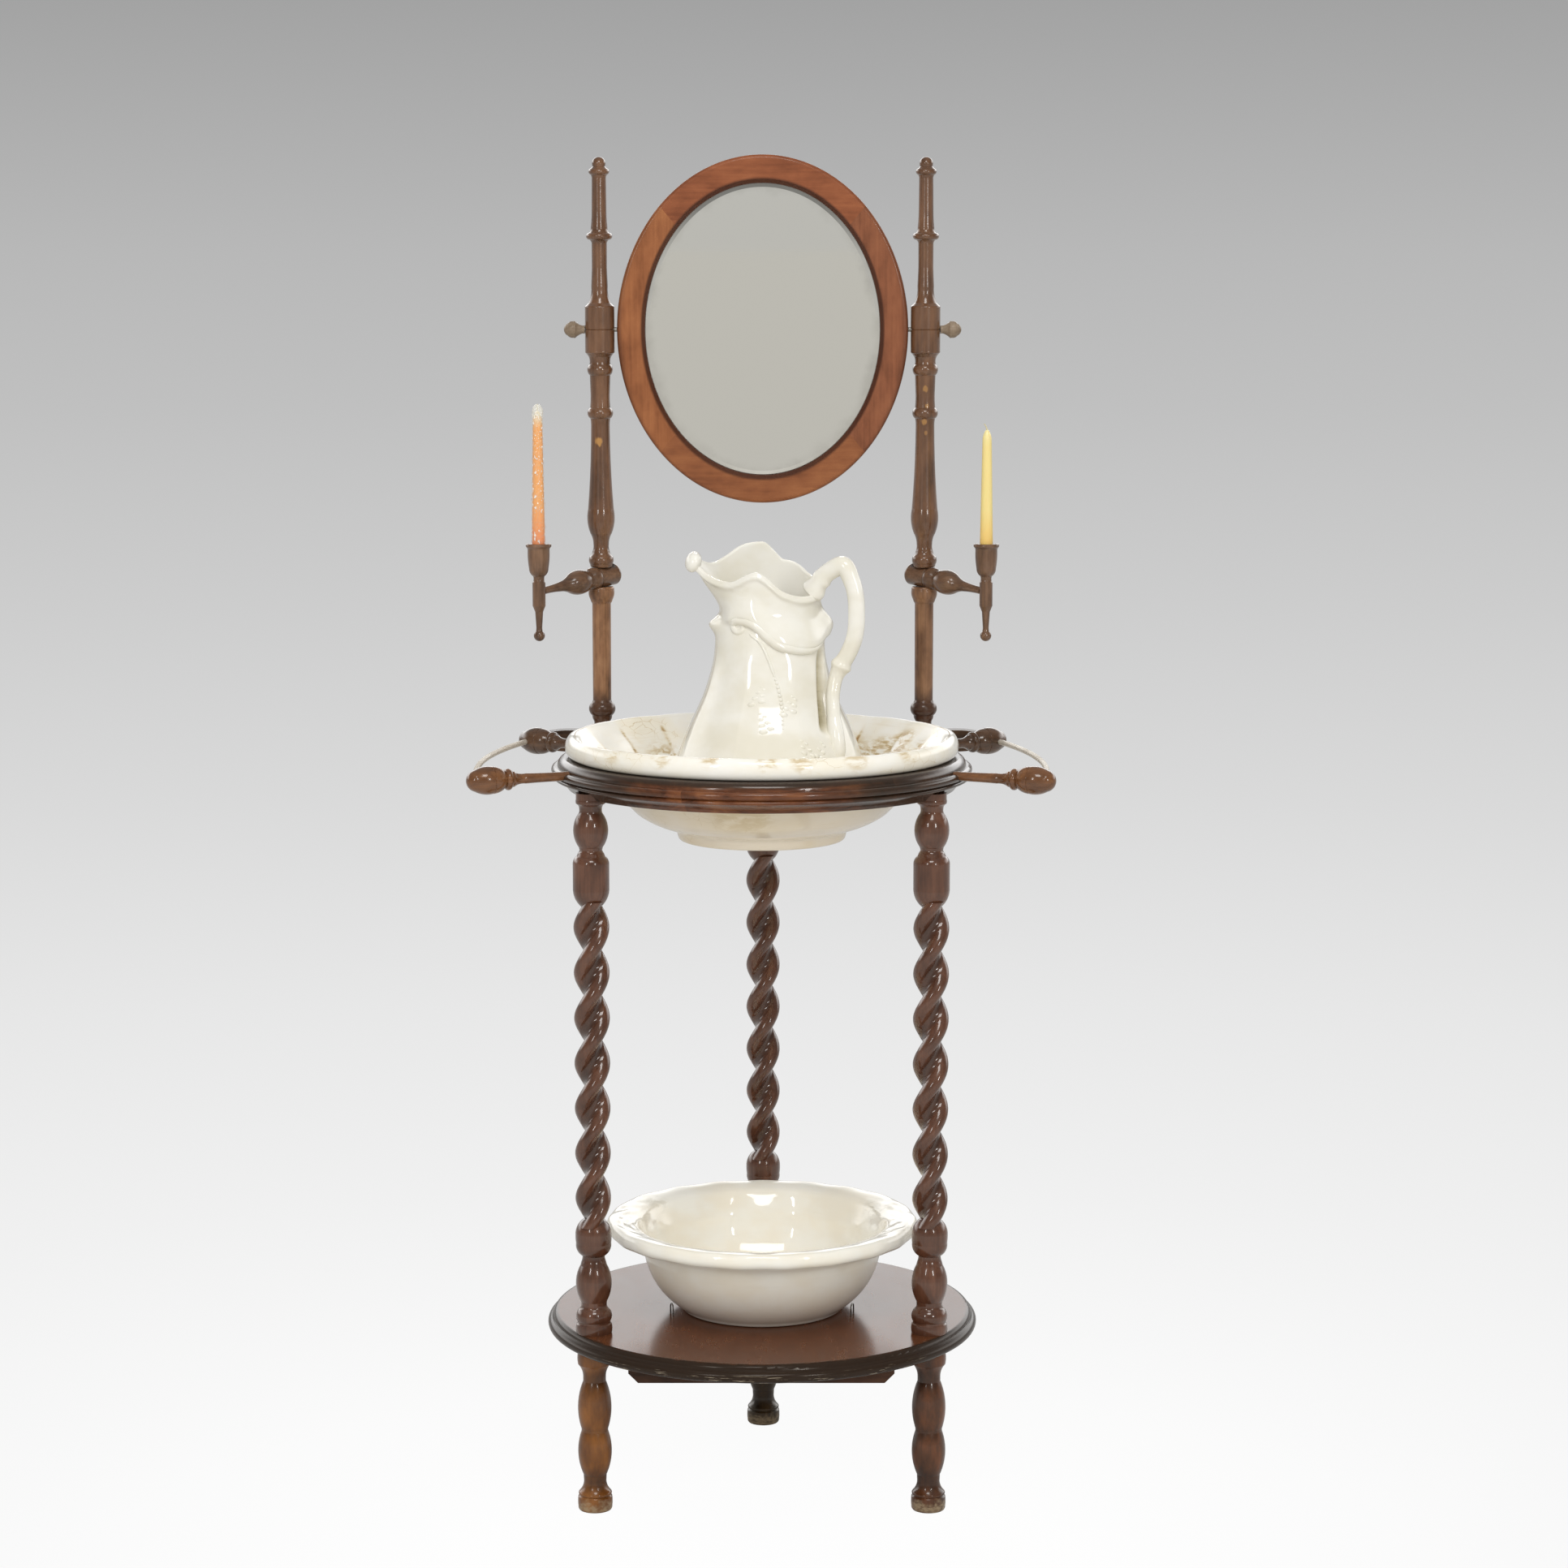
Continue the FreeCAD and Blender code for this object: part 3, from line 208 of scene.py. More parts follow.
class Shader:
    """Node tree of a material or world, filled through one node-making method."""

    def __init__(self, owner: Union[bpy.types.Material, bpy.types.World]) -> None:
        """Empty the owner's node tree.

        Args:
            owner: The material or world that the tree belongs to.
        """
        owner.use_nodes = True
        self.owner = owner
        self.nodes = owner.node_tree.nodes
        self.links = owner.node_tree.links
        self.nodes.clear()

    @classmethod
    def named(cls, name: str) -> "Shader":
        """Start a new material of that name."""
        return cls(bpy.data.materials.new(name))

    def add(
        self, kind: str, settings: Optional[dict] = None, values: Optional[dict] = None,
        out: Union[int, str] = 0,
    ) -> Wire:
        """Make one node.

        Args:
            kind: Blender's type name of the node.
            settings: Properties set first; "stops" gives a colour ramp's (place, colour) pairs.
            values: Numbers, colours or wires for the input sockets, by name or index.
            out: Output socket that is wanted, by name or index.

        Returns:
            The wire from that output.
        """
        node = self.nodes.new(kind)
        for key, value in (settings or {}).items():
            if key == "stops":
                self._stops(node.color_ramp, value)
            else:
                setattr(node, key, value)
        for key, value in (values or {}).items():
            socket = node.inputs[key]
            if isinstance(value, Wire):
                self.links.new(value.socket, socket)
            elif socket.type == "RGBA":
                socket.default_value = (*value, 1.0)
            else:
                socket.default_value = value
        return Wire(self, node.outputs[out] if len(node.outputs) else None)

    @staticmethod
    def _stops(ramp: bpy.types.ColorRamp, stops: Sequence[tuple[float, Colour]]) -> None:
        """Give a colour ramp its stops.

        Args:
            ramp: The ramp, which has two stops at first.
            stops: Places and colours, in order of place.
        """
        for index, (place, colour) in enumerate(stops):
            fresh = index >= len(ramp.elements)
            element = ramp.elements.new(place) if fresh else ramp.elements[index]
            element.position = place
            element.color = (*colour, 1.0)

    def place(self) -> Wire:
        """Object coordinates, in metres."""
        return self.add("ShaderNodeTexCoord", out="Object")

    def mark(self, name: str) -> Wire:
        """Value that the mesh carries at its points under that name."""
        return self.add("ShaderNodeAttribute", {"attribute_name": name}, out="Fac")

    def ray(self, kind: str) -> Wire:
        """1 for rays of one kind and 0 for others."""
        return self.add("ShaderNodeLightPath", out=f"Is {kind} Ray")

    def axes(self, place: Wire) -> tuple[Wire, Wire, Wire]:
        """Split a place into values.

        Args:
            place: The coordinates.

        Returns:
            x, y and z.
        """
        first = self.add("ShaderNodeSeparateXYZ", None, {0: place})
        outputs = first.socket.node.outputs
        return first, Wire(self, outputs[1]), Wire(self, outputs[2])

    def point(self, x: Value, y: Value, z: Value) -> Wire:
        """Vector of three values."""
        return self.add("ShaderNodeCombineXYZ", None, {0: x, 1: y, 2: z})

    def cells(self, place: Wire, size: Triple, shift: float = 0.0) -> Wire:
        """Count a place in pattern cells.

        Args:
            place: The coordinates.
            size: A cell's three sides in millimetres.
            shift: Move of the pattern in metres, so that two pieces differ.

        Returns:
            The coordinates in cells.
        """
        scale = tuple(side * MM for side in size)
        values = {"Vector": place, "Location": (shift, shift, shift), "Scale": scale}
        return self.add("ShaderNodeMapping", {"vector_type": "TEXTURE"}, values)

    def noise(
        self, place: Wire, size: Triple, detail: float, shift: float = 0.0, rough: float = 0.55,
        bend: float = 0.0,
    ) -> Wire:
        """Cloudy value about one half, one lump to a pattern cell.

        Args:
            place: The coordinates.
            size: A cell's three sides in millimetres.
            detail: Number of finer layers.
            shift: Move of the pattern in metres.
            rough: Share of each finer layer.
            bend: How far lumps are pulled about.

        Returns:
            The value.
        """
        cells = self.cells(place, size, shift)
        values = {"Vector": cells, "Scale": 1.0, "Detail": detail, "Roughness": rough, "Distortion": bend}
        return self.add("ShaderNodeTexNoise", None, values)

    def seams(self, place: Wire, size: Triple) -> Wire:
        """Distance from the borders between cells of a cracked pattern."""
        values = {"Vector": self.cells(place, size), "Scale": 1.0}
        return self.add("ShaderNodeTexVoronoi", {"feature": "DISTANCE_TO_EDGE"}, values)

    def oval(self, place: Wire, middle: Pair, half: Pair) -> Wire:
        """Oval distance in an upright plane, which is 1 along the oval itself.

        Args:
            place: The coordinates.
            middle: x and z of the oval's middle in millimetres.
            half: Its half sides along x and z in millimetres.

        Returns:
            The distance.
        """
        x, _, z = self.axes(place)
        return ((x - middle[0] * MM) / (half[0] * MM)).hypot((z - middle[1] * MM) / (half[1] * MM))

    def ramp(self, value: Wire, stops: Sequence[tuple[float, Colour]]) -> Wire:
        """Colour of a value along a row of stops."""
        return self.add("ShaderNodeValToRGB", {"stops": stops}, {0: value})

    def greys(self, value: Wire, tones: Sequence[Pair]) -> Wire:
        """Grey of a value along a row of places and tones."""
        return self.ramp(value, [(place, (tone,) * 3) for place, tone in tones])

    def mix(self, share: Value, first: Union[Wire, Colour], second: Union[Wire, Colour]) -> Wire:
        """Blend of two colours; a share of 1 is all second."""
        settings = {"data_type": "RGBA"}
        return self.add("ShaderNodeMix", settings, {0: share, 6: first, 7: second}, 2)

    def spot(self, place: Wire, spot: Spot, ragged: Wire) -> Wire:
        """Mask of a round spot with a ragged border.

        Args:
            place: Object coordinates.
            spot: Centre and size of the spot.
            ragged: Cloudy value that eats into the border.

        Returns:
            1 inside and 0 outside, times the spot's strength.
        """
        values = {0: place, 1: (spot.x * MM, spot.y * MM, spot.z * MM)}
        away = self.add("ShaderNodeVectorMath", {"operation": "DISTANCE"}, values, "Value")
        share = (away / (spot.size * MM)).sway(ragged, spot.ragged)
        return share.step(1.0, SPOT_CORE) * spot.strength

    def bump(self, height: Wire, strength: float, depth: float) -> Wire:
        """Normal of a height; depth is in millimetres."""
        values = {"Strength": strength, "Distance": depth * MM, "Height": height}
        return self.add("ShaderNodeBump", None, values)

    def close(self, values: dict) -> bpy.types.Material:
        """End the tree in a principled surface.

        Args:
            values: Numbers, colours or wires of the surface's sockets.

        Returns:
            The finished material.
        """
        surface = self.add("ShaderNodeBsdfPrincipled", None, values)
        self.add("ShaderNodeOutputMaterial", None, {"Surface": surface})
        return self.owner


@dataclass(frozen=True)
class WoodFinish:
    """Stained and polished wood with streaks, pores, cloudy stain and small chips."""

    name: str
    deep: Colour
    body: Colour
    bright: Colour
    grain: Grain = Grain.Z
    streak: float = 3.0
    stretch: float = 24.0
    cloud: Pair = (22.0, 48.0)
    pore: Pair = (0.6, 9.0)
    pore_shade: float = 0.08
    tone_places: Triple = (0.34, 0.5, 0.66)
    figure: float = 0.35
    gloss: float = 0.27
    polish: float = 0.4
    polish_gloss: float = 0.11
    sheen: float = 0.25
    varnish: Colour = (1.0, 0.93, 0.82)
    relief: float = 0.015
    relief_depth: float = 0.08
    seed: float = 0.0
    chips: tuple[Spot, ...] = ()
    bare: Colour = paint(178, 130, 70)
    bare_rough: float = 0.25

    def lay(self, shader: Shader) -> Wire:
        """Coordinates that the grain follows."""
        return shader.place()

    def tint(self, shader: Shader, colour: Wire) -> Wire:
        """Colour after marks that belong to the piece's own shape; none on a plain piece."""
        return colour

    def material(self) -> bpy.types.Material:
        """Build the finish: streaks and clouds pick the colour, pores darken and dent it.

        Returns:
            The material.
        """
        shader = Shader.named(self.name)
        lay = self.lay(shader)
        length = self.stretch * self.streak
        streaks = shader.noise(lay, self.grain.size(self.streak, length), 4.0, self.seed)
        clouds = shader.noise(lay, self.grain.size(*self.cloud), 4.0, self.seed + 0.3)
        pores = shader.noise(lay, self.grain.size(*self.pore), 2.0, self.seed).step(0.60, 0.74)
        tone = streaks * self.figure + clouds * (1.0 - self.figure)
        colour = shader.ramp(tone, tuple(zip(self.tone_places, (self.deep, self.body, self.bright))))
        colour = shader.mix(pores * self.pore_shade, colour, self.deep)
        colour = self.tint(shader, colour)
        rough = clouds * 0.08 + pores * 0.03 + (self.gloss - 0.04)
        if self.chips:
            place = shader.place()
            ragged = shader.noise(place, Grain.Z.size(3.0, 9.0), 3.0)
            for chip in self.chips:
                mask = shader.spot(place, chip, ragged)
                colour = shader.mix(mask, colour, self.bare)
                rough = rough + mask * self.bare_rough
        height = streaks * 0.2 - pores
        return shader.close({
            "Base Color": colour,
            "Roughness": rough,
            "Specular IOR Level": self.sheen,
            "Specular Tint": self.varnish,
            "Coat Weight": self.polish,
            "Coat Roughness": self.polish_gloss,
            "Normal": shader.bump(height, self.relief, self.relief_depth),
        })


@dataclass(frozen=True)
class TurnedWood(WoodFinish):
    """Wood turned about an upright axis: painted shade in its hollows, lighter on its crests, worn at its
    foot.
    """

    axis: Pair = (0.0, 0.0)
    # Painted shade in the hollows: full inside the hollow radius, gone outside the crest radius, in the dark
    # colour at the darkness share
    hollow: float = 14.0
    crest: float = 21.0
    border: float = 6.0
    dark: Colour = paint(34, 20, 14)
    darkness: float = 0.6
    worn_below: float = 0.0
    worn_full: float = 0.45
    worn_border: float = 30.0
    worn: Colour = paint(168, 148, 116)

    def tint(self, shader: Shader, colour: Wire) -> Wire:
        """Darken by the distance from the axis as painted shade in the hollows, and bare the lowest part
        where it is worn.

        Args:
            shader: The material's tree.
            colour: Colour of the grain.

        Returns:
            The marked colour.
        """
        place = shader.place()
        x, y, z = shader.axes(place)
        radius = (x - self.axis[0] * MM).hypot(y - self.axis[1] * MM)
        cloud = shader.noise(place, Grain.Z.size(9.0, 14.0), 3.0, self.seed)
        # Painted shade: the nearer the axis, the darker
        low = radius.sway(cloud, self.border * MM).step_at(self.crest, self.hollow)
        colour = shader.mix(low * self.darkness, colour, self.dark)
        if self.worn_below > 0.0:
            level = z.sway(cloud, self.worn_border * MM)
            rubbed = level.step_at(self.worn_below, self.worn_full * self.worn_below)
            grit = shader.noise(place, Grain.Z.size(7.0, 4.0), 4.0, self.seed)
            colour = shader.mix(rubbed * (grit.step(0.3, 0.65) * 0.6 + 0.12), colour, self.worn)
        return colour


@dataclass(frozen=True)
class PostWood(WoodFinish):
    """Wood of an upright post whose turned foot is stained darker than its shaft."""

    dark_below: float = 980.0
    blend: float = 14.0
    border: float = 30.0
    dark: Colour = paint(64, 40, 29)
    darkness: float = 0.85

    def tint(self, shader: Shader, colour: Wire) -> Wire:
        """Darken the foot by height, with a cloudy border.

        Args:
            shader: The material's tree.
            colour: Colour of the shaft.

        Returns:
            The marked colour.
        """
        place = shader.place()
        cloud = shader.noise(place, Grain.Z.size(10.0, 16.0), 3.0, self.seed)
        level = shader.axes(place)[2].sway(cloud, self.border * MM)
        foot = level.step_at(self.dark_below + self.blend, self.dark_below - self.blend)
        return shader.mix(foot * self.darkness, colour, self.dark)


@dataclass(frozen=True)
class FrameWood(WoodFinish):
    """Wood of an oval frame, darker along its inner lip, with painted shade on its rounded outer edge."""

    middle: Pair = (0.0, 0.0)
    half: Pair = (1.0, 1.0)
    lip: Pair = (1.045, 1.02)
    lip_shade: float = 0.9
    # The outer edge band and its share are painted shade of the rounded outer edge
    edge: Pair = (1.175, 1.24)
    edge_shade: float = 0.55
    dark: Colour = paint(66, 34, 22)

    def tint(self, shader: Shader, colour: Wire) -> Wire:
        """Darken by the oval distance from the middle, which is 1 along the glass's visible edge; the outer
        band is painted shade.

        Args:
            shader: The material's tree.
            colour: Colour of the grain.

        Returns:
            The marked colour.
        """
        away = shader.oval(shader.place(), self.middle, self.half)
        # The outer edge step is painted shade of the rounded outer edge
        lip = away.step(*self.lip) * self.lip_shade
        return shader.mix(lip.most(away.step(*self.edge) * self.edge_shade), colour, self.dark)


@dataclass(frozen=True)
class ShelfWood(WoodFinish):
    """Round shelf of boards glued side by side, with a blackened moulded edge, scratched in front."""

    board: float = 136.0
    board_shift: Pair = (0.37, 0.11)
    board_shade: float = 0.35
    edge_from: Pair = (256.0, 262.0)
    edge_border: float = 6.0
    edge_shade: float = 0.92
    edge: Colour = paint(40, 34, 28)
    scratch_low: Pair = (218.0, 210.0)
    scratch_front: Pair = (-160.0, -220.0)
    scratch_share: float = 0.8
    scratch: Colour = paint(170, 156, 134)

    def lay(self, shader: Shader) -> Wire:
        """Coordinates moved along the grain by a different length in each board.

        Args:
            shader: The material's tree.

        Returns:
            The moved coordinates.
        """
        x, y, z = shader.axes(shader.place())
        count = (x / (self.board * MM)).nearest()
        return shader.point(x, y + count * self.board_shift[0], z + count * self.board_shift[1])

    def tint(self, shader: Shader, colour: Wire) -> Wire:
        """Shade the boards, blacken the rim by its distance from the centre, and scratch its lower front.

        Args:
            shader: The material's tree.
            colour: Colour of the boards.

        Returns:
            The marked colour.
        """
        place = shader.place()
        x, y, z = shader.axes(place)
        board = (x / (self.board * MM)).nearest()
        shade = shader.add("ShaderNodeTexWhiteNoise", {"noise_dimensions": "1D"}, {"W": board}, "Value")
        colour = shader.mix(shade * self.board_shade, colour, self.deep)
        cloud = shader.noise(place, (12.0, 12.0, 12.0), 3.0)
        rim = x.hypot(y).sway(cloud, self.edge_border * MM).step_at(*self.edge_from)
        colour = shader.mix(rim * self.edge_shade, colour, self.edge)
        lines = shader.noise(place, (22.0, 22.0, 1.6), 3.0).step(0.60, 0.66)
        where = rim * z.step_at(*self.scratch_low) * y.step_at(*self.scratch_front)
        return shader.mix(lines * where * self.scratch_share, colour, self.scratch)


@dataclass(frozen=True)
class RingWood(WoodFinish):
    """Moulded ring of straight-grained lengths glued end to end, blackened towards its sides, with painted
    shadow of the basin's rim on its crown.
    """

    lengths: int = 6
    turn: float = 0.37
    length_shift: Pair = (0.23, 0.41)
    dark: Colour = paint(42, 36, 29)
    darkness: float = 0.86
    border: float = 120.0
    left_from: Pair = (-100.0, -190.0)
    right_from: Pair = (50.0, 160.0)
    back_from: Pair = (-120.0, 0.0)
    # Heights over which the crown is darkened as painted shadow of the basin's rim
    rim_shadow_from: Pair = (923.0, 929.0)

    def lay(self, shader: Shader) -> Wire:
        """Coordinates of each length: out from its middle, along its chord, and up.

        Args:
            shader: The material's tree.

        Returns:
            The coordinates.
        """
        x, y, z = shader.axes(shader.place())
        part = TAU / self.lengths
        angle = y.angle_from(x) + self.turn
        count = (angle / part).nearest()
        local = angle - count * part
        radius = x.hypot(y)
        out = radius * local.cosine() + count * self.length_shift[0]
        return shader.point(out, radius * local.sine() + count * self.length_shift[1], z)

    def tint(self, shader: Shader, colour: Wire) -> Wire:
        """Blacken everything away from the front middle, with a soft cloudy border at the sides; the crown's
        darkening is painted shadow of the basin's rim.

        Args:
            shader: The material's tree.
            colour: Colour of the lengths.

        Returns:
            The marked colour.
        """
        place = shader.place()
        x, y, z = shader.axes(place)
        cloud = shader.noise(place, (50.0, 50.0, 20.0), 4.0)
        across = x.sway(cloud, self.border * MM)
        sides = across.step_at(*self.left_from).most(across.step_at(*self.right_from))
        # Above the crown level the darkening is painted shadow of the basin's rim
        rest = y.step_at(*self.back_from).most(z.step_at(*self.rim_shadow_from))
        return shader.mix(sides.most(rest) * self.darkness, colour, self.dark)


@dataclass(frozen=True)
class GlazeFinish:
    """Cream earthenware glaze with a faint cloud, crazing lines, brown stains, darkened creases and a
    painted warm bounce outside; the jug's darkened crease is painted shade.
    """

    name: str
    body: Colour
    shade: Colour
    # Colour of stains, also of the painted shade in the jug's slot
    stain_and_shade: Colour
    crazing: float = 0.0
    gloss: float = 0.06
    spots: tuple[Spot, ...] = ()
    creases: float = 0.0
    broken: float = 1.0
    wash: float = 0.0
    # Share and tone of painted warm light reflected from the wood onto the outside
    wood_bounce: float = 0.0
    wood_bounce_tone: Colour = paint(222, 194, 144)
    halo: Colour = paint(216, 196, 156)
    halo_from: Pair = (0.0, 0.55)
    stain_from: Pair = (0.3, 1.0)
    seam_pull: float = 12.0
    ripple: Pair = (0.12, 0.25)

    def crazed(self, shader: Shader, place: Wire) -> Wire:
        """Mask of thin bent crazing lines.

        Args:
            shader: The material's tree.
            place: Object coordinates.

        Returns:
            1 along the lines.
        """
        bent = shader.noise(place, (20.0, 20.0, 20.0), 3.0)
        values = {0: shader.point(bent, bent, bent), 1: (self.seam_pull * MM,) * 3, 2: place}
        pulled = shader.add("ShaderNodeVectorMath", {"operation": "MULTIPLY_ADD"}, values)
        return shader.seams(pulled, (21.0, 21.0, 16.0)).step(0.03, 0.0)

    def material(self) -> bpy.types.Material:
        """Build the glaze: a cloudy cream, warmed outside by painted reflected light, under thin crazing
        lines, ragged stains and darkened creases.

        Returns:
            The material.
        """
        shader = Shader.named(self.name)
        place = shader.place()
        cloud = shader.noise(place, (70.0, 70.0, 50.0), 3.0)
        ragged = shader.noise(place, (22.0, 22.0, 7.0), 5.0, rough=0.6, bend=0.4)
        colour = shader.mix(cloud.step(0.35, 0.68), self.body, self.shade)
        # Painted warm light reflected from the wood below, on the outside
        if self.wood_bounce:
            colour = shader.mix(shader.mark("outside") * self.wood_bounce, colour, self.wood_bounce_tone)
        smears = shader.noise(place, (90.0, 90.0, 6.0), 4.0)
        marks = smears.step(0.56, 0.70) * self.wash
        for spot in self.spots:
            marks = marks.most(shader.spot(place, spot, ragged) * ragged.step(0.36, 0.62))
        # The crease mark is stain in the basin's flutes and painted shade in the jug's slot
        if self.creases:
            whole = 1.0 - (1.0 - ragged.step(0.40, 0.60) * cloud.step(0.38, 0.60)) * self.broken
            marks = marks.most(shader.mark("crease") * whole * self.creases)
        if self.crazing:
            marks = marks.most(self.crazed(shader, place) * cloud.step(0.48, 0.66) * self.crazing)
        colour = shader.mix(marks.step(*self.halo_from), colour, self.halo)
        colour = shader.mix(marks.step(*self.stain_from), colour, self.stain_and_shade)
        ripple = shader.noise(place, (13.0, 13.0, 13.0), 2.0)
        return shader.close({
            "Base Color": colour,
            "Roughness": marks * 0.2 + cloud * 0.05 + (self.gloss - 0.02),
            "Normal": shader.bump(ripple, *self.ripple),
        })


@dataclass(frozen=True)
class MetalFinish:
    """Drawn metal with fine lines along one direction and a dull cloud."""

    name: str
    body: Colour
    dull: Colour
    gloss: float
    grain: Grain = Grain.Z
    drawn: float = 0.1
    metal: float = 1.0
    patch: float = 12.0
    line: Pair = (0.3, 20.0)

    def material(self) -> bpy.types.Material:
        """Build the metal: tarnish clouds pick its colour and roughness.

        Returns:
            The material.
        """
        shader = Shader.named(self.name)
        place = shader.place()
        tarnish = shader.noise(place, (self.patch,) * 3, 5.0).step(0.38, 0.68)
        lines = shader.noise(place, self.grain.size(*self.line), 2.0)
        return shader.close({
            "Base Color": shader.mix(tarnish, self.body, self.dull),
            "Metallic": self.metal,
            "Roughness": tarnish * 0.15 + lines * 0.08 + self.gloss,
            "Normal": shader.bump(lines, self.drawn, 0.05),
        })


@dataclass(frozen=True)
class MirrorFinish:
    """Silvered glass with faint clouding towards its edge."""

    name: str
    silver: Colour
    veil: Colour
    middle: Pair
    half: Pair
    veil_from: Pair = (0.90, 1.06)
    veil_border: float = 0.2
    veil_share: float = 0.6

    def material(self) -> bpy.types.Material:
        """Build the mirror: veiling grows with the oval distance from the middle.

        Returns:
            The material.
        """
        shader = Shader.named(self.name)
        place = shader.place()
        cloud = shader.noise(place, (30.0, 30.0, 30.0), 5.0)
        away = shader.oval(place, self.middle, self.half)
        veil = away.sway(cloud, self.veil_border).step(*self.veil_from)
        return shader.close({
            "Base Color": shader.mix(veil * self.veil_share, self.silver, self.veil),
            "Metallic": 1.0,
            "Roughness": veil * 0.12 + 0.02,
        })


@dataclass(frozen=True)
class WaxFinish:
    """Candle wax that changes colour up its length."""

    name: str
    low: Colour
    middle: Colour
    high: Colour
    bottom: float
    top: float
    gloss: float = 0.32
    border: float = 0.08
    middle_part: Pair = (0.3, 0.86)

    def material(self) -> bpy.types.Material:
        """Build the wax: three colours by height, with a soft bloom of paler wax.

        Returns:
            The material.
        """
        shader = Shader.named(self.name)
        place = shader.place()
        cloud = shader.noise(place, (8.0, 8.0, 30.0), 4.0)
        rise = (shader.axes(place)[2] - self.bottom * MM) / ((self.top - self.bottom) * MM)
        start, end = self.middle_part
        stops = [(0.0, self.low), (start, self.middle), (end, self.middle), (1.0, self.high)]
        return shader.close({
            "Base Color": shader.ramp(rise.sway(cloud, self.border), stops),
            "Roughness": cloud * 0.15 + (self.gloss - 0.07),
            "Subsurface Weight": 0.12,
            "Subsurface Radius": (1.0, 0.6, 0.3),
            "Subsurface Scale": 0.006,
            "Normal": shader.bump(cloud, 0.15, 0.3),
        })


@dataclass(frozen=True)
class FilmFinish:
    """Clear crackling film whose creases are milky, with painted glints."""

    name: str
    colour: Colour
    clear: float
    top: float
    gathered: float = 20.0

    def material(self) -> bpy.types.Material:
        """Build the film: nearly clear, less so along its creases, in small painted glints, and where it is
        gathered on top.

        Returns:
            The material.
        """
        shader = Shader.named(self.name)
        place = shader.place()
        creases = shader.seams(place, (7.0, 7.0, 13.0)).step(0.12, 0.0)
        # Small opaque flecks of the film's pale colour are painted glints
        painted_glints = shader.noise(place, (2.4, 2.4, 4.5), 2.0).step(0.60, 0.67)
        crown = shader.axes(place)[2].step_at(self.top - self.gathered, self.top)
        return shader.close({
            "Base Color": self.colour,
            "Roughness": 0.05,
            "Alpha": creases * 0.08 + painted_glints * 0.85 + crown * 0.4 + (1.0 - self.clear),
            "Normal": shader.bump(creases, 0.6, 0.5),
        })


@dataclass(frozen=True)
class CottonFinish:
    """Twisted cotton of a wick, waxed and grey at the end."""

    name: str
    body: Colour
    dark: Colour
    strand: Triple = (0.6, 0.6, 2.0)

    def material(self) -> bpy.types.Material:
        """Build the cotton: fine strands, dark between.

        Returns:
            The material.
        """
        shader = Shader.named(self.name)
        strands = shader.noise(shader.place(), self.strand, 3.0)
        return shader.close({
            "Base Color": shader.mix(strands.step(0.4, 0.65), self.body, self.dark),
            "Roughness": strands * 0.2 + 0.7,
            "Normal": shader.bump(strands, 0.6, 0.2),
        })


def curve(at: np.ndarray, places: Sequence[float], values: Sequence[float]) -> np.ndarray:
    """Smooth line through given points: cubic runs whose slopes are those of the neighbours' chord.

    Args:
        at: Places at which the line is wanted.
        places: Rising places of the given points.
        values: Their values.

    Returns:
        The values at those places.
    """
    x, v = np.asarray(places, float), np.asarray(values, float)
    slope = np.gradient(v, x)
    at = np.clip(at, x[0], x[-1])
    run = np.clip(np.searchsorted(x, at) - 1, 0, len(x) - 2)
    width = x[run + 1] - x[run]
    t = (at - x[run]) / width
    lift = (1 + 2 * t) * (1 - t) ** 2 * v[run] + t * t * (3 - 2 * t) * v[run + 1]
    return lift + width * (t * (1 - t) ** 2 * slope[run] - t * t * (1 - t) * slope[run + 1])


def step(value: np.ndarray, low: float, high: float) -> np.ndarray:
    """Rise from 0 at low to 1 at high along t*t*(3 - 2t); falls where low is the larger."""
    t = np.clip((value - low) / (high - low), 0.0, 1.0)
    return t * t * (3.0 - 2.0 * t)


def bell(value: np.ndarray, middle: Numbers, width: float) -> np.ndarray:
    """Bump of 1 at the middle that falls off as exp(-t*t), where t is the distance over the width."""
    return np.exp(-(((value - middle) / width) ** 2))


def around(count: int, start: float = 0.0) -> np.ndarray:
    """Row of even angles once round from the start."""
    return np.linspace(start, start + TAU, count, endpoint=False)[None, :]


def turned(radius: Numbers, angle: Numbers, height: Numbers, axis: Pair = (0.0, 0.0)) -> np.ndarray:
    """Points about an upright axis: (axis x + r cos a, axis y + r sin a, height).

    Args:
        radius: Distances r from the axis.
        angle: Angles a in radians.
        height: Heights.
        axis: Where the axis stands.

    Returns:
        The points, as an array of one more dimension.
    """
    x = axis[0] + radius * np.cos(angle)
    y = axis[1] + radius * np.sin(angle)
    return np.stack(np.broadcast_arrays(x, y, height), -1)


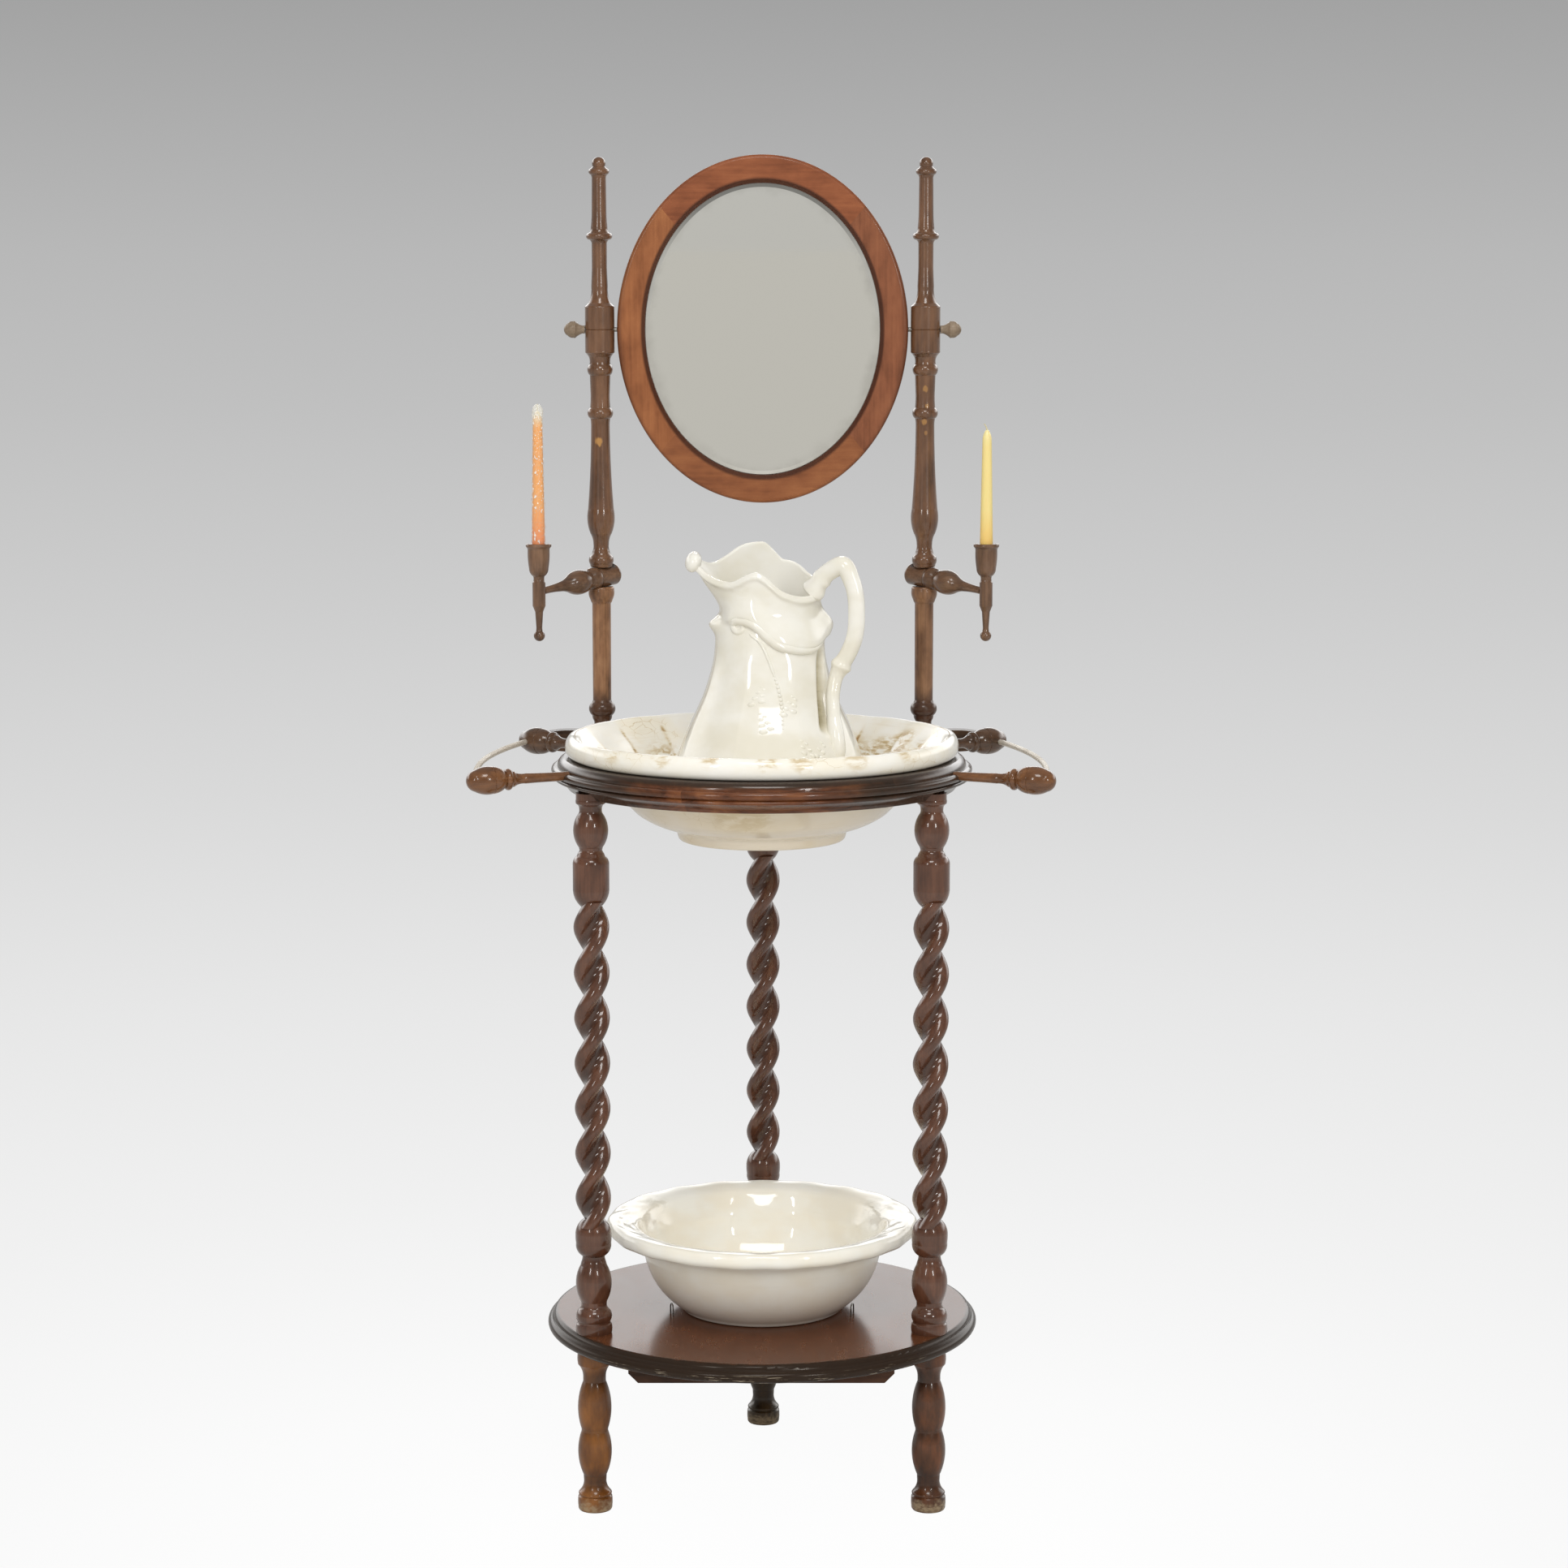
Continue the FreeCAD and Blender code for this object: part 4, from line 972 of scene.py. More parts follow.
def profile(
    points: Sequence[Triple], spacing: float, rounding: int = 3, run_steps: int = 40,
) -> tuple[np.ndarray, np.ndarray, np.ndarray]:
    """Outline of a vessel's wall: bowed runs at even steps, its corners rounded by running means.

    Each run goes straight to the next point, plus a bow of its own height to the right.

    Args:
        points: (radius, height, bow) from the middle below, over the rim, to the middle inside.
        spacing: Length of a step in millimetres.
        rounding: Number of running means of three neighbours.
        run_steps: Points along a run before they are evened out.

    Returns:
        Columns of radii, of heights, and of whether a row is past the top and so inside.
    """
    corners = np.array(points, float)
    t = np.linspace(0.0, 1.0, run_steps, endpoint=False)[:, None]
    runs = []
    for start, end in zip(corners[:-1], corners[1:]):
        way = end[:2] - start[:2]
        out = np.array([way[1], -way[0]]) / np.hypot(*way)
        runs.append(start[:2] + way * t + out * 4.0 * end[2] * t * (1.0 - t))
    line = np.vstack(runs + [corners[-1:, :2]])
    length = np.concatenate([[0.0], np.cumsum(np.hypot(*np.diff(line, axis=0).T))])
    even = np.linspace(0.0, length[-1], int(length[-1] / spacing) + 1)
    line = np.stack([np.interp(even, length, line[:, 0]), np.interp(even, length, line[:, 1])], 1)
    for _ in range(rounding):
        line[1:-1] = (line[:-2] + line[1:-1] + line[2:]) / 3.0
    inside = np.arange(len(line)) > np.argmax(line[:, 1])
    return line[:, :1], line[:, 1:], inside[:, None]


def link(name: str, data: bpy.types.ID) -> bpy.types.Object:
    """Put a mesh, lamp or camera into the scene.

    Args:
        name: Name of the new object.
        data: What it shows.

    Returns:
        The object, at the origin.
    """
    made = bpy.data.objects.new(name, data)
    bpy.context.scene.collection.objects.link(made)
    return made


def skin(
    name: str, grids: Sequence[np.ndarray], ends: bool = True, marks: Optional[dict] = None,
) -> bpy.types.Object:
    """Make a mesh piece from grids of points, the last column of each joined to its first.

    Args:
        name: Name of the piece.
        grids: Arrays of rows x columns x 3 in millimetres; columns run anticlockwise as rows go on.
        ends: Whether the first and last rows are closed with a fan to their middle.
        marks: Values of the first grid's points, by attribute name.

    Returns:
        The smooth-shaded object, at the origin.
    """
    points, quads, fans, start = [], [], [], 0
    for grid in grids:
        rows, columns = grid.shape[:2]
        index = start + np.arange(rows * columns).reshape(rows, columns)
        after = np.roll(index, -1, axis=1)
        quads.append(np.stack([index[:-1], after[:-1], after[1:], index[1:]], -1).reshape(-1, 4))
        points.append(grid.reshape(-1, 3))
        start += rows * columns
        if ends:
            middles = np.stack([grid[0].mean(0), grid[-1].mean(0)])
            first = np.stack([after[0], index[0], np.full(columns, start)], -1)
            final = np.stack([index[-1], after[-1], np.full(columns, start + 1)], -1)
            fans.append(np.vstack([first, final]))
            points.append(middles)
            start += 2
    faces = np.vstack(quads).tolist() + (np.vstack(fans).tolist() if fans else [])
    mesh = bpy.data.meshes.new(name)
    mesh.from_pydata((np.vstack(points) * MM).tolist(), [], faces)
    mesh.shade_smooth()
    for key, values in (marks or {}).items():
        spread = np.broadcast_to(values, grids[0].shape[:2])
        padded = np.zeros(start, np.float32)
        padded[:spread.size] = spread.ravel()
        mesh.attributes.new(key, "FLOAT", "POINT").data.foreach_set("value", padded)
    return link(name, mesh)


def tube(path: np.ndarray, radii: np.ndarray, side: np.ndarray, columns: int = 20) -> np.ndarray:
    """Carry a circle along a path: each ring lies across the path, its radius given row by row.

    Args:
        path: Points in millimetres.
        radii: Radius at each point, or rows of two half-widths: along side, and across it.
        side: Direction, or one for each point, that stays as near as it can to the rings' first axis.
        columns: Points round a ring.

    Returns:
        A grid of rows x columns x 3.
    """
    ahead = np.gradient(path, axis=0)
    ahead /= np.linalg.norm(ahead, axis=1, keepdims=True)
    first = side - ahead * (ahead * side).sum(1, keepdims=True)
    first /= np.linalg.norm(first, axis=1, keepdims=True)
    second = np.cross(ahead, first)
    widths = np.broadcast_to(np.asarray(radii, float).reshape(len(path), -1), (len(path), 2))
    angle = around(columns)[..., None]
    across = first[:, None] * np.cos(angle) * widths[:, None, :1]
    return path[:, None] + across + second[:, None] * np.sin(angle) * widths[:, None, 1:]


def domes(centres: np.ndarray, sizes: np.ndarray, rows: int = 6, columns: int = 10) -> list[np.ndarray]:
    """Small rounded beads: a globe at each centre, as grids from pole to pole.

    Args:
        centres: Points in millimetres.
        sizes: Rows of three half-sizes in x, y and z.
        rows: Points from pole to pole.
        columns: Points round a bead.

    Returns:
        One grid for each bead.
    """
    pole = 0.5 * math.pi - 0.2
    rise = np.linspace(-pole, pole, rows)[:, None]
    globe = turned(np.cos(rise), around(columns), np.sin(rise))
    return list(centres[:, None, None] + globe[None] * sizes[:, None, None])


def dress(material: bpy.types.Material, *nodes: str) -> None:
    """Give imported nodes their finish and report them.

    Args:
        material: The finish.
        nodes: Names of the nodes.
    """
    for node in nodes:
        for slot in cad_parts[node].material_slots:
            slot.material = material
        log.info("dressed %s with %s", node, material.name)


def seat(piece: bpy.types.Object, body: str, slot: str, material: bpy.types.Material, *nodes: str) -> None:
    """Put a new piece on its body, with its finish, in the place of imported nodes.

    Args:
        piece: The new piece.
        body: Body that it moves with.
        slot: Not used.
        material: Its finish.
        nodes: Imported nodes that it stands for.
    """
    piece.data.materials.append(material)
    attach(piece, body)
    if nodes:
        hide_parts(*nodes)
    log.info("made %s on %s, %d faces", piece.name, body, len(piece.data.polygons))


@dataclass
class Stand:
    """Feet, twisted columns, shelf, ring, towel arms, back rail and posts."""

    leg_circle: float = 240.0
    front_angle: float = 30.0
    post_front: float = 247.0
    rod_reach: float = 367.6
    rod_back: Pair = (35.0, 925.0)
    rod_front: Pair = (-22.0, 920.0)
    rod_bow: float = 28.0
    rod_radius: float = 3.5
    rod_rows: int = 61

    def leg_axes(self) -> dict[str, Pair]:
        """Place the three legs on their circle.

        Returns:
            x and y of each leg, by name.
        """
        degrees = {"front_left": 180.0 + self.front_angle, "front_right": -self.front_angle, "back": 90.0}
        angles = {name: math.radians(turn) for name, turn in degrees.items()}
        circle = self.leg_circle
        return {name: (circle * math.cos(a), circle * math.sin(a)) for name, a in angles.items()}

    def dress_legs(self) -> None:
        """Columns in dark red-brown with painted shade in their hollows; feet paler, each in its own tone,
        also with painted shade in their hollows, worn below.
        """
        feet = {
            "front_left": (paint(92, 54, 23), paint(120, 73, 30), paint(144, 90, 37)),
            "front_right": (paint(54, 31, 18), paint(82, 48, 27), paint(112, 64, 34)),
            "back": (paint(36, 28, 18), paint(62, 48, 30), paint(84, 66, 42)),
        }
        for index, (name, axis) in enumerate(self.leg_axes().items()):
            # hollow, crest and darkness set the painted shade in the hollows of the columns and feet
            column = TurnedWood(
                f"column_wood_{name}", paint(72, 44, 31), paint(90, 57, 41), paint(108, 70, 51),
                axis=axis, hollow=8.0, crest=15.5, darkness=0.5, seed=0.7 * index, gloss=0.3, polish=0.9,
                polish_gloss=0.08,
            )
            dress(column.material(), f"twist_column_{name}")
            foot = TurnedWood(
                f"foot_wood_{name}", *feet[name], axis=axis, hollow=12.0, crest=19.5, darkness=0.62,
                streak=5.0, figure=0.2, seed=0.9 * index + 0.2, gloss=0.34, polish=0.6, worn_below=17.0,
            )
            dress(foot.material(), f"foot_{name}")

    def dress_flats(self) -> None:
        """Shelf, its cleats, the ring and the back rail."""
        shelf = ShelfWood(
            "shelf_wood", paint(88, 51, 30), paint(98, 57, 34), paint(107, 64, 38),
            grain=Grain.Y, gloss=0.2, polish=0.0, sheen=0.19, relief=0.004,
        )
        cleat = WoodFinish(
            "cleat_wood", paint(46, 29, 20), paint(70, 44, 31), paint(88, 58, 41),
            grain=Grain.X, gloss=0.5, polish=0.05,
        )
        ring = RingWood(
            "ring_wood", paint(62, 34, 20), paint(104, 60, 36), paint(134, 82, 48),
            grain=Grain.Y, gloss=0.24, polish=0.4,
        )
        rail = WoodFinish(
            "rail_wood", paint(36, 26, 20), paint(62, 44, 32), paint(88, 64, 46),
            grain=Grain.X, gloss=0.35, polish=0.2,
        )
        dress(shelf.material(), "lower_shelf")
        dress(cleat.material(), "shelf_cleat_front", "shelf_cleat_back")
        dress(ring.material(), "basin_ring")
        dress(rail.material(), "back_rail")

    def rod(self, hand: int) -> np.ndarray:
        """Round rod along an arc from the back arm's end to the front one's, bowed outwards.

        The arc is middle + outward R cos t + along R sin t, where R = (half chord squared + bow squared)
        / 2 bow.

        Args:
            hand: 1 for the right side, -1 for the left.

        Returns:
            A grid of rows x columns x 3.
        """
        back, front = (
            turned(self.rod_reach, math.radians(degrees), level)
            for degrees, level in (self.rod_back, self.rod_front)
        )
        half = 0.5 * np.linalg.norm(front - back)
        along = 0.5 * (front - back) / half
        outward = np.cross(UP, along)
        outward /= np.linalg.norm(outward)
        radius = (half ** 2 + self.rod_bow ** 2) / (2.0 * self.rod_bow)
        t = np.linspace(-1.0, 1.0, self.rod_rows)[:, None] * math.asin(half / radius)
        middle = 0.5 * (back + front) + outward * (self.rod_bow - radius)
        line = middle + radius * (outward * np.cos(t) + along * np.sin(t))
        return tube(line * np.array([hand, 1.0, 1.0]), np.full(len(line), self.rod_radius), UP)

    def dress_arms(self) -> None:
        """Towel arms in a browner wood, blackened on the back ones, and their metal rods."""
        tones = {
            "front": (paint(82, 52, 30), paint(106, 68, 40), paint(130, 86, 51)),
            "back": (paint(58, 40, 27), paint(80, 55, 37), paint(98, 69, 47)),
        }
        rod = MetalFinish(
            "rod_metal", paint(214, 206, 192), paint(200, 189, 172), 0.34, Grain.Y,
            drawn=0.0, metal=0.25, patch=90.0,
        ).material()
        for side, hand in HANDS.items():
            for row, tone in tones.items():
                arm = WoodFinish(
                    f"arm_wood_{row}_{side}", *tone, grain=Grain.X, polish=0.8, seed=0.2 * SEEDS[side],
                )
                dress(arm.material(), f"towel_arm_{row}_{side}")
            rail = skin(f"towel_rail_{side}", [self.rod(hand)])
            seat(rail, "stand", "rod_metal", rod, f"towel_rod_{side}")

    def dress_posts(self) -> None:
        """Posts in grey-brown wood, with chips on the fronts of the upper ones."""
        chips = {
            "left": (Spot(-213.0, self.post_front, 1311.0, 7.0),),
            "right": (
                Spot(211.0, self.post_front, 1379.0, 5.0, 0.6),
                Spot(213.0, self.post_front, 1357.0, 4.0, 0.7),
                Spot(209.0, self.post_front, 1336.0, 5.0, 0.7),
                Spot(212.0, self.post_front, 1322.0, 4.0, 0.5),
            ),
        }
        lower_tones = {
            "left": (paint(92, 60, 38), paint(146, 104, 72), paint(176, 132, 95)),
            "right": (paint(78, 50, 33), paint(124, 88, 61), paint(152, 112, 80)),
        }
        for side, seed in SEEDS.items():
            lower = PostWood(
                f"lower_post_wood_{side}", *lower_tones[side],
                gloss=0.34, polish=0.5, polish_gloss=0.14, seed=0.4 * seed,
            )
            dress(lower.material(), f"lower_post_{side}")
            upper = WoodFinish(
                f"upper_post_wood_{side}", paint(78, 52, 34), paint(104, 71, 48), paint(124, 87, 60),
                gloss=0.3, polish=0.9, polish_gloss=0.13, seed=0.5 * seed, chips=chips[side],
            )
            dress(upper.material(), f"upper_post_{side}")

    def dress_metal(self) -> None:
        """Screws and the two wire keepers on the shelf."""
        steel = MetalFinish("steel", paint(150, 148, 144), paint(96, 92, 86), 0.3)
        wire = MetalFinish("keeper_wire", paint(150, 148, 142), paint(92, 88, 80), 0.22)
        dress(steel.material(), "cleat_screws", "rail_screws")
        dress(wire.material(), "bowl_keepers")

    def build(self) -> None:
        """Dress every node of the stand."""
        self.dress_legs()
        self.dress_flats()
        self.dress_arms()
        self.dress_posts()
        self.dress_metal()


@dataclass
class SwingMirror:
    """Oval mirror in a frame of four glued lengths, with its back board, pivots and knobs."""

    pivot_height: float = 1455.0
    sight_width: float = 305.0
    sight_height: float = 376.0

    def build(self) -> None:
        """Dress the frame's lengths along their own grain, then the glass, board, pivots and knobs."""
        middle = (0.0, self.pivot_height)
        half = (0.5 * self.sight_width, 0.5 * self.sight_height)
        tones = {
            "top": (Grain.X, paint(120, 66, 40), paint(142, 81, 50), paint(158, 94, 59)),
            "bottom": (Grain.X, paint(118, 68, 41), paint(140, 84, 51), paint(156, 98, 60)),
            "left": (Grain.Z, paint(124, 72, 41), paint(148, 90, 54), paint(166, 105, 64)),
            "right": (Grain.Z, paint(110, 64, 41), paint(134, 80, 53), paint(150, 93, 62)),
        }
        for index, (name, (grain, *tone)) in enumerate(tones.items()):
            wood = FrameWood(
                f"frame_wood_{name}", *tone, grain=grain, streak=4.0, gloss=0.36, polish=0.18,
                seed=0.6 * index, middle=middle, half=half,
            )
            dress(wood.material(), f"mirror_frame_{name}")
        glass = MirrorFinish("mirror_glass", (0.98, 0.965, 0.89), (0.62, 0.60, 0.54), middle, half)
        board = WoodFinish(
            "back_board", paint(132, 103, 74), paint(146, 116, 84), paint(158, 128, 95),
            streak=5.0, gloss=0.6, polish=0.0,
        )
        steel = MetalFinish("pivot_steel", paint(160, 156, 150), paint(104, 98, 90), 0.3, Grain.X)
        brass = MetalFinish("pivot_brass", paint(196, 160, 92), paint(120, 96, 54), 0.3, Grain.X)
        dress(glass.material(), "mirror_glass")
        dress(board.material(), "mirror_back")
        dress(steel.material(), "mirror_back_pins", "pivot_screw_left", "pivot_screw_right")
        dress(brass.material(), "pivot_inserts")
        for side, seed in SEEDS.items():
            knob = WoodFinish(
                f"knob_wood_{side}", paint(92, 76, 60), paint(132, 114, 94), paint(156, 138, 118),
                grain=Grain.X, streak=2.5, gloss=0.36, polish=0.15, seed=0.3 * seed,
            )
            dress(knob.material(), f"pivot_knob_{side}")


@dataclass
class CandleArms:
    """Swing arms with their cups, an orange candle in clear film and a yellow one with a bent wick."""

    post_x: float = 211.0
    post_y: float = 261.0
    reach: float = 107.0
    forward: float = 44.0
    cup_rim: float = 1182.9
    left_length: float = 170.0
    right_length: float = 146.0
    base_radius: float = 8.4
    shoulder_radius: float = 6.0
    shoulder_drop: float = 14.0
    film_gap: float = 1.2
    film_rise: float = 9.0
    film_start: float = 0.6
    film_dome: float = 2.0
    film_ripple: float = 0.5
    film_rows: int = 150
    film_columns: int = 48
    wick_sink: float = 2.5
    wick_rows: int = 24
    wick_columns: int = 12

    def candle_axis(self, hand: int) -> Pair:
        """Find where a candle stands.

        Args:
            hand: 1 for the right side, -1 for the left.

        Returns:
            x and y of its axis.
        """
        turn = math.radians(self.forward)
        x = hand * (self.post_x + self.reach * math.cos(turn))
        return x, self.post_y - self.reach * math.sin(turn)

    def film(self) -> bpy.types.Object:
        """Wrap the left candle: its taper plus a gap, rippled by crossing waves, closed in a dome on top.

        Returns:
            The film's piece.
        """
        top = self.cup_rim + self.left_length
        start = self.cup_rim + self.film_start
        angle = around(self.film_columns)
        height = start + np.linspace(0.0, 1.0, self.film_rows)[:, None] * (top + self.film_rise - start)
        share = np.clip((height - self.cup_rim) / (self.left_length - self.shoulder_drop), 0.0, 1.0)
        radius = self.base_radius + (self.shoulder_radius - self.base_radius) * share + self.film_gap
        ripple = np.sin(3 * angle + 0.21 * height) * np.sin(0.47 * height + 1.3 * np.sin(2 * angle))
        ripple = ripple + 0.6 * np.sin(7 * angle - 0.9 * height) * np.sin(0.13 * height)
        radius = radius + self.film_ripple * ripple * step(share, 0.02, 0.12)
        over = np.clip((height - top + self.film_dome) / (self.film_rise + 1.1 * self.film_dome), 0.0, 1.0)
        grid = turned(radius * np.sqrt(1.0 - over * over), angle, height, self.candle_axis(HANDS["left"]))
        return skin("candle_film", [grid], ends=False)

    def bent_wick(self) -> bpy.types.Object:
        """Bend the right wick: a thin tapering circle carried along a line that leans left as it rises.

        Returns:
            The wick's piece.
        """
        level = self.cup_rim + self.right_length - self.wick_sink
        foot = np.array([*self.candle_axis(HANDS["right"]), level])
        t = np.linspace(0.0, 1.0, self.wick_rows)[:, None]
        path = foot + np.concatenate([-4.2 * t ** 2.2, -0.6 * t, 11.0 * t - 0.6 * t * t], 1)
        radii = 1.5 - 0.9 * t[:, 0] ** 0.6
        return skin("bent_wick", [tube(path, radii, np.array([0.0, 1.0, 0.0]), self.wick_columns)])

    def build(self) -> None:
        """Dress arms, cups and candles, and add the film and the bent wick."""
        for side, seed in SEEDS.items():
            arm = WoodFinish(
                f"candle_arm_wood_{side}", paint(72, 50, 36), paint(100, 72, 52), paint(126, 94, 70),
                grain=Grain.X, gloss=0.33, polish=0.8, polish_gloss=0.14, seed=0.7 * seed,
            )
            dress(arm.material(), f"candle_arm_{side}")
            cup = WoodFinish(
                f"candle_cup_wood_{side}", paint(72, 50, 36), paint(104, 75, 54), paint(130, 97, 72),
                gloss=0.34, polish=0.8, polish_gloss=0.14, seed=0.9 * seed,
            )
            dress(cup.material(), f"candle_cup_{side}")
        top_left, top_right = self.cup_rim + self.left_length, self.cup_rim + self.right_length
        orange = WaxFinish(
            "orange_wax", paint(236, 138, 74), paint(243, 170, 92), paint(243, 226, 180),
            self.cup_rim, top_left,
        )
        yellow = WaxFinish(
            "yellow_wax", paint(240, 200, 112), paint(244, 222, 146), paint(246, 232, 168),
            self.cup_rim, top_right,
        )
        dress(orange.material(), "candle_left")
        dress(yellow.material(), "candle_right")
        cotton = CottonFinish("wick_cotton", paint(222, 212, 176), paint(190, 176, 136)).material()
        dress(cotton, "candle_wick_left")
        seat(self.bent_wick(), "candle_right", "wick", cotton, "candle_wick_right")
        film = FilmFinish("clear_film", (0.95, 0.93, 0.84), 0.93, top_left).material()
        seat(self.film(), "candle_left", "left_wax", film)


@dataclass
class Basin:
    """Wide basin hung in the ring: rolled rim, fluted inside, plain shoulder and foot."""

    foot_level: float = 828.0
    seat_level: float = 933.0
    rim_level: float = 961.0
    radius: float = 246.0
    throat: float = 214.5
    shoulder: float = 156.0
    foot: float = 105.0
    floor: float = 844.0
    flutes: int = 20
    flute_depth: float = 4.0
    flute_low: Pair = (140.0, 172.0)
    flute_high: Pair = (232.0, 214.0)
    crease: Pair = (0.28, 0.02)
    rim_wave: float = 0.6
    columns: int = 320

    def shape(self) -> tuple[np.ndarray, dict[str, np.ndarray]]:
        """Turn the wall's outline, its inside pushed in by |sin| flutes that fade to floor and rim.

        Returns:
            A grid of rows x columns x 3, and its marks: 1 along the creases between flutes, and 1 outside.
        """
        radius, height, inside = profile([
            (1.0, self.foot_level + 5.0, 0.0),
            (self.foot - 12.0, self.foot_level + 5.0, 0.0),
            (self.foot - 9.0, self.foot_level, 0.0),
            (self.foot - 1.0, self.foot_level, 0.0),
            (self.foot + 2.0, self.foot_level + 14.0, 0.0),
            (self.shoulder, self.foot_level + 34.0, 3.0),
            (self.throat - 1.5, self.seat_level - 3.0, 2.4),
            (self.throat, self.seat_level, 0.0),
            (self.radius - 9.0, self.seat_level, 0.0),
            (self.radius - 3.0, self.seat_level + 4.0, 0.8),
            (self.radius - 6.0, self.rim_level - 1.0, 4.0),
            (self.radius - 14.0, self.rim_level - 1.6, 1.2),
            (self.throat - 4.0, self.seat_level + 2.0, -1.5),
            (self.shoulder - 4.0, self.foot_level + 42.0, -2.0),
            (self.foot - 4.0, self.floor, -4.0),
            (1.0, self.floor, 0.0),
        ], 2.2)
        angle = around(self.columns)
        zone = inside * step(radius, *self.flute_low) * step(radius, *self.flute_high)
        swing = np.abs(np.sin(0.5 * self.flutes * angle))
        rim = step(height, self.seat_level + 8.0, self.rim_level)
        outside = (1.0 - inside) * step(height, self.seat_level, self.seat_level - 6.0)
        radius = radius - zone * self.flute_depth * swing + self.rim_wave * rim * np.sin(7 * angle + 0.6)
        wave = self.rim_wave * np.sin(3 * angle + 1.0) + 0.7 * np.abs(np.sin(10 * angle)) - 1.0
        marks = {"crease": zone * step(swing, *self.crease), "outside": outside}
        return turned(radius, angle, height + rim * wave), marks

    def build(self) -> None:
        """Make the basin with its stains: brown in the creases, at the back and along the front rim."""
        spots = (
            Spot(-128.0, 146.0, 890.0, 54.0, 0.6),
            Spot(-110.0, 100.0, 852.0, 78.0, 0.5),
            Spot(104.0, 160.0, 900.0, 60.0, 0.55),
            Spot(150.0, 128.0, 914.0, 40.0, 0.6),
            Spot(165.0, 96.0, 900.0, 50.0, 0.5),
            Spot(124.0, 92.0, 856.0, 66.0, 0.6),
            Spot(176.0, 112.0, 932.0, 34.0, 0.6),
            Spot(192.0, 62.0, 926.0, 34.0, 0.5),
            Spot(-176.0, -160.0, 957.0, 22.0, 0.4, 1.6),
            Spot(-118.0, -208.0, 957.0, 20.0, 0.4, 1.6),
            Spot(-60.0, -228.0, 957.0, 18.0, 0.45, 1.6),
            Spot(8.0, -236.0, 955.0, 20.0, 0.45, 1.6),
            Spot(48.0, -232.0, 956.0, 22.0, 0.45, 1.6),
            Spot(112.0, -210.0, 957.0, 24.0, 0.4, 1.6),
            Spot(172.0, -162.0, 957.0, 22.0, 0.5, 1.6),
            Spot(-20.0, -170.0, 890.0, 60.0, 0.35, 1.4),
        )
        # The outside share paints warm light reflected from the wood below onto the underside
        glaze = GlazeFinish(
            "basin_glaze", paint(250, 247, 238), paint(246, 239, 221), paint(150, 101, 44),
            crazing=0.4, spots=spots, creases=0.95, broken=0.7, wash=0.12, wood_bounce=0.4,
        )
        grid, marks = self.shape()
        seat(skin("wash_basin", [grid], marks=marks), "basin", "basin_glaze", glaze.material(), "basin")


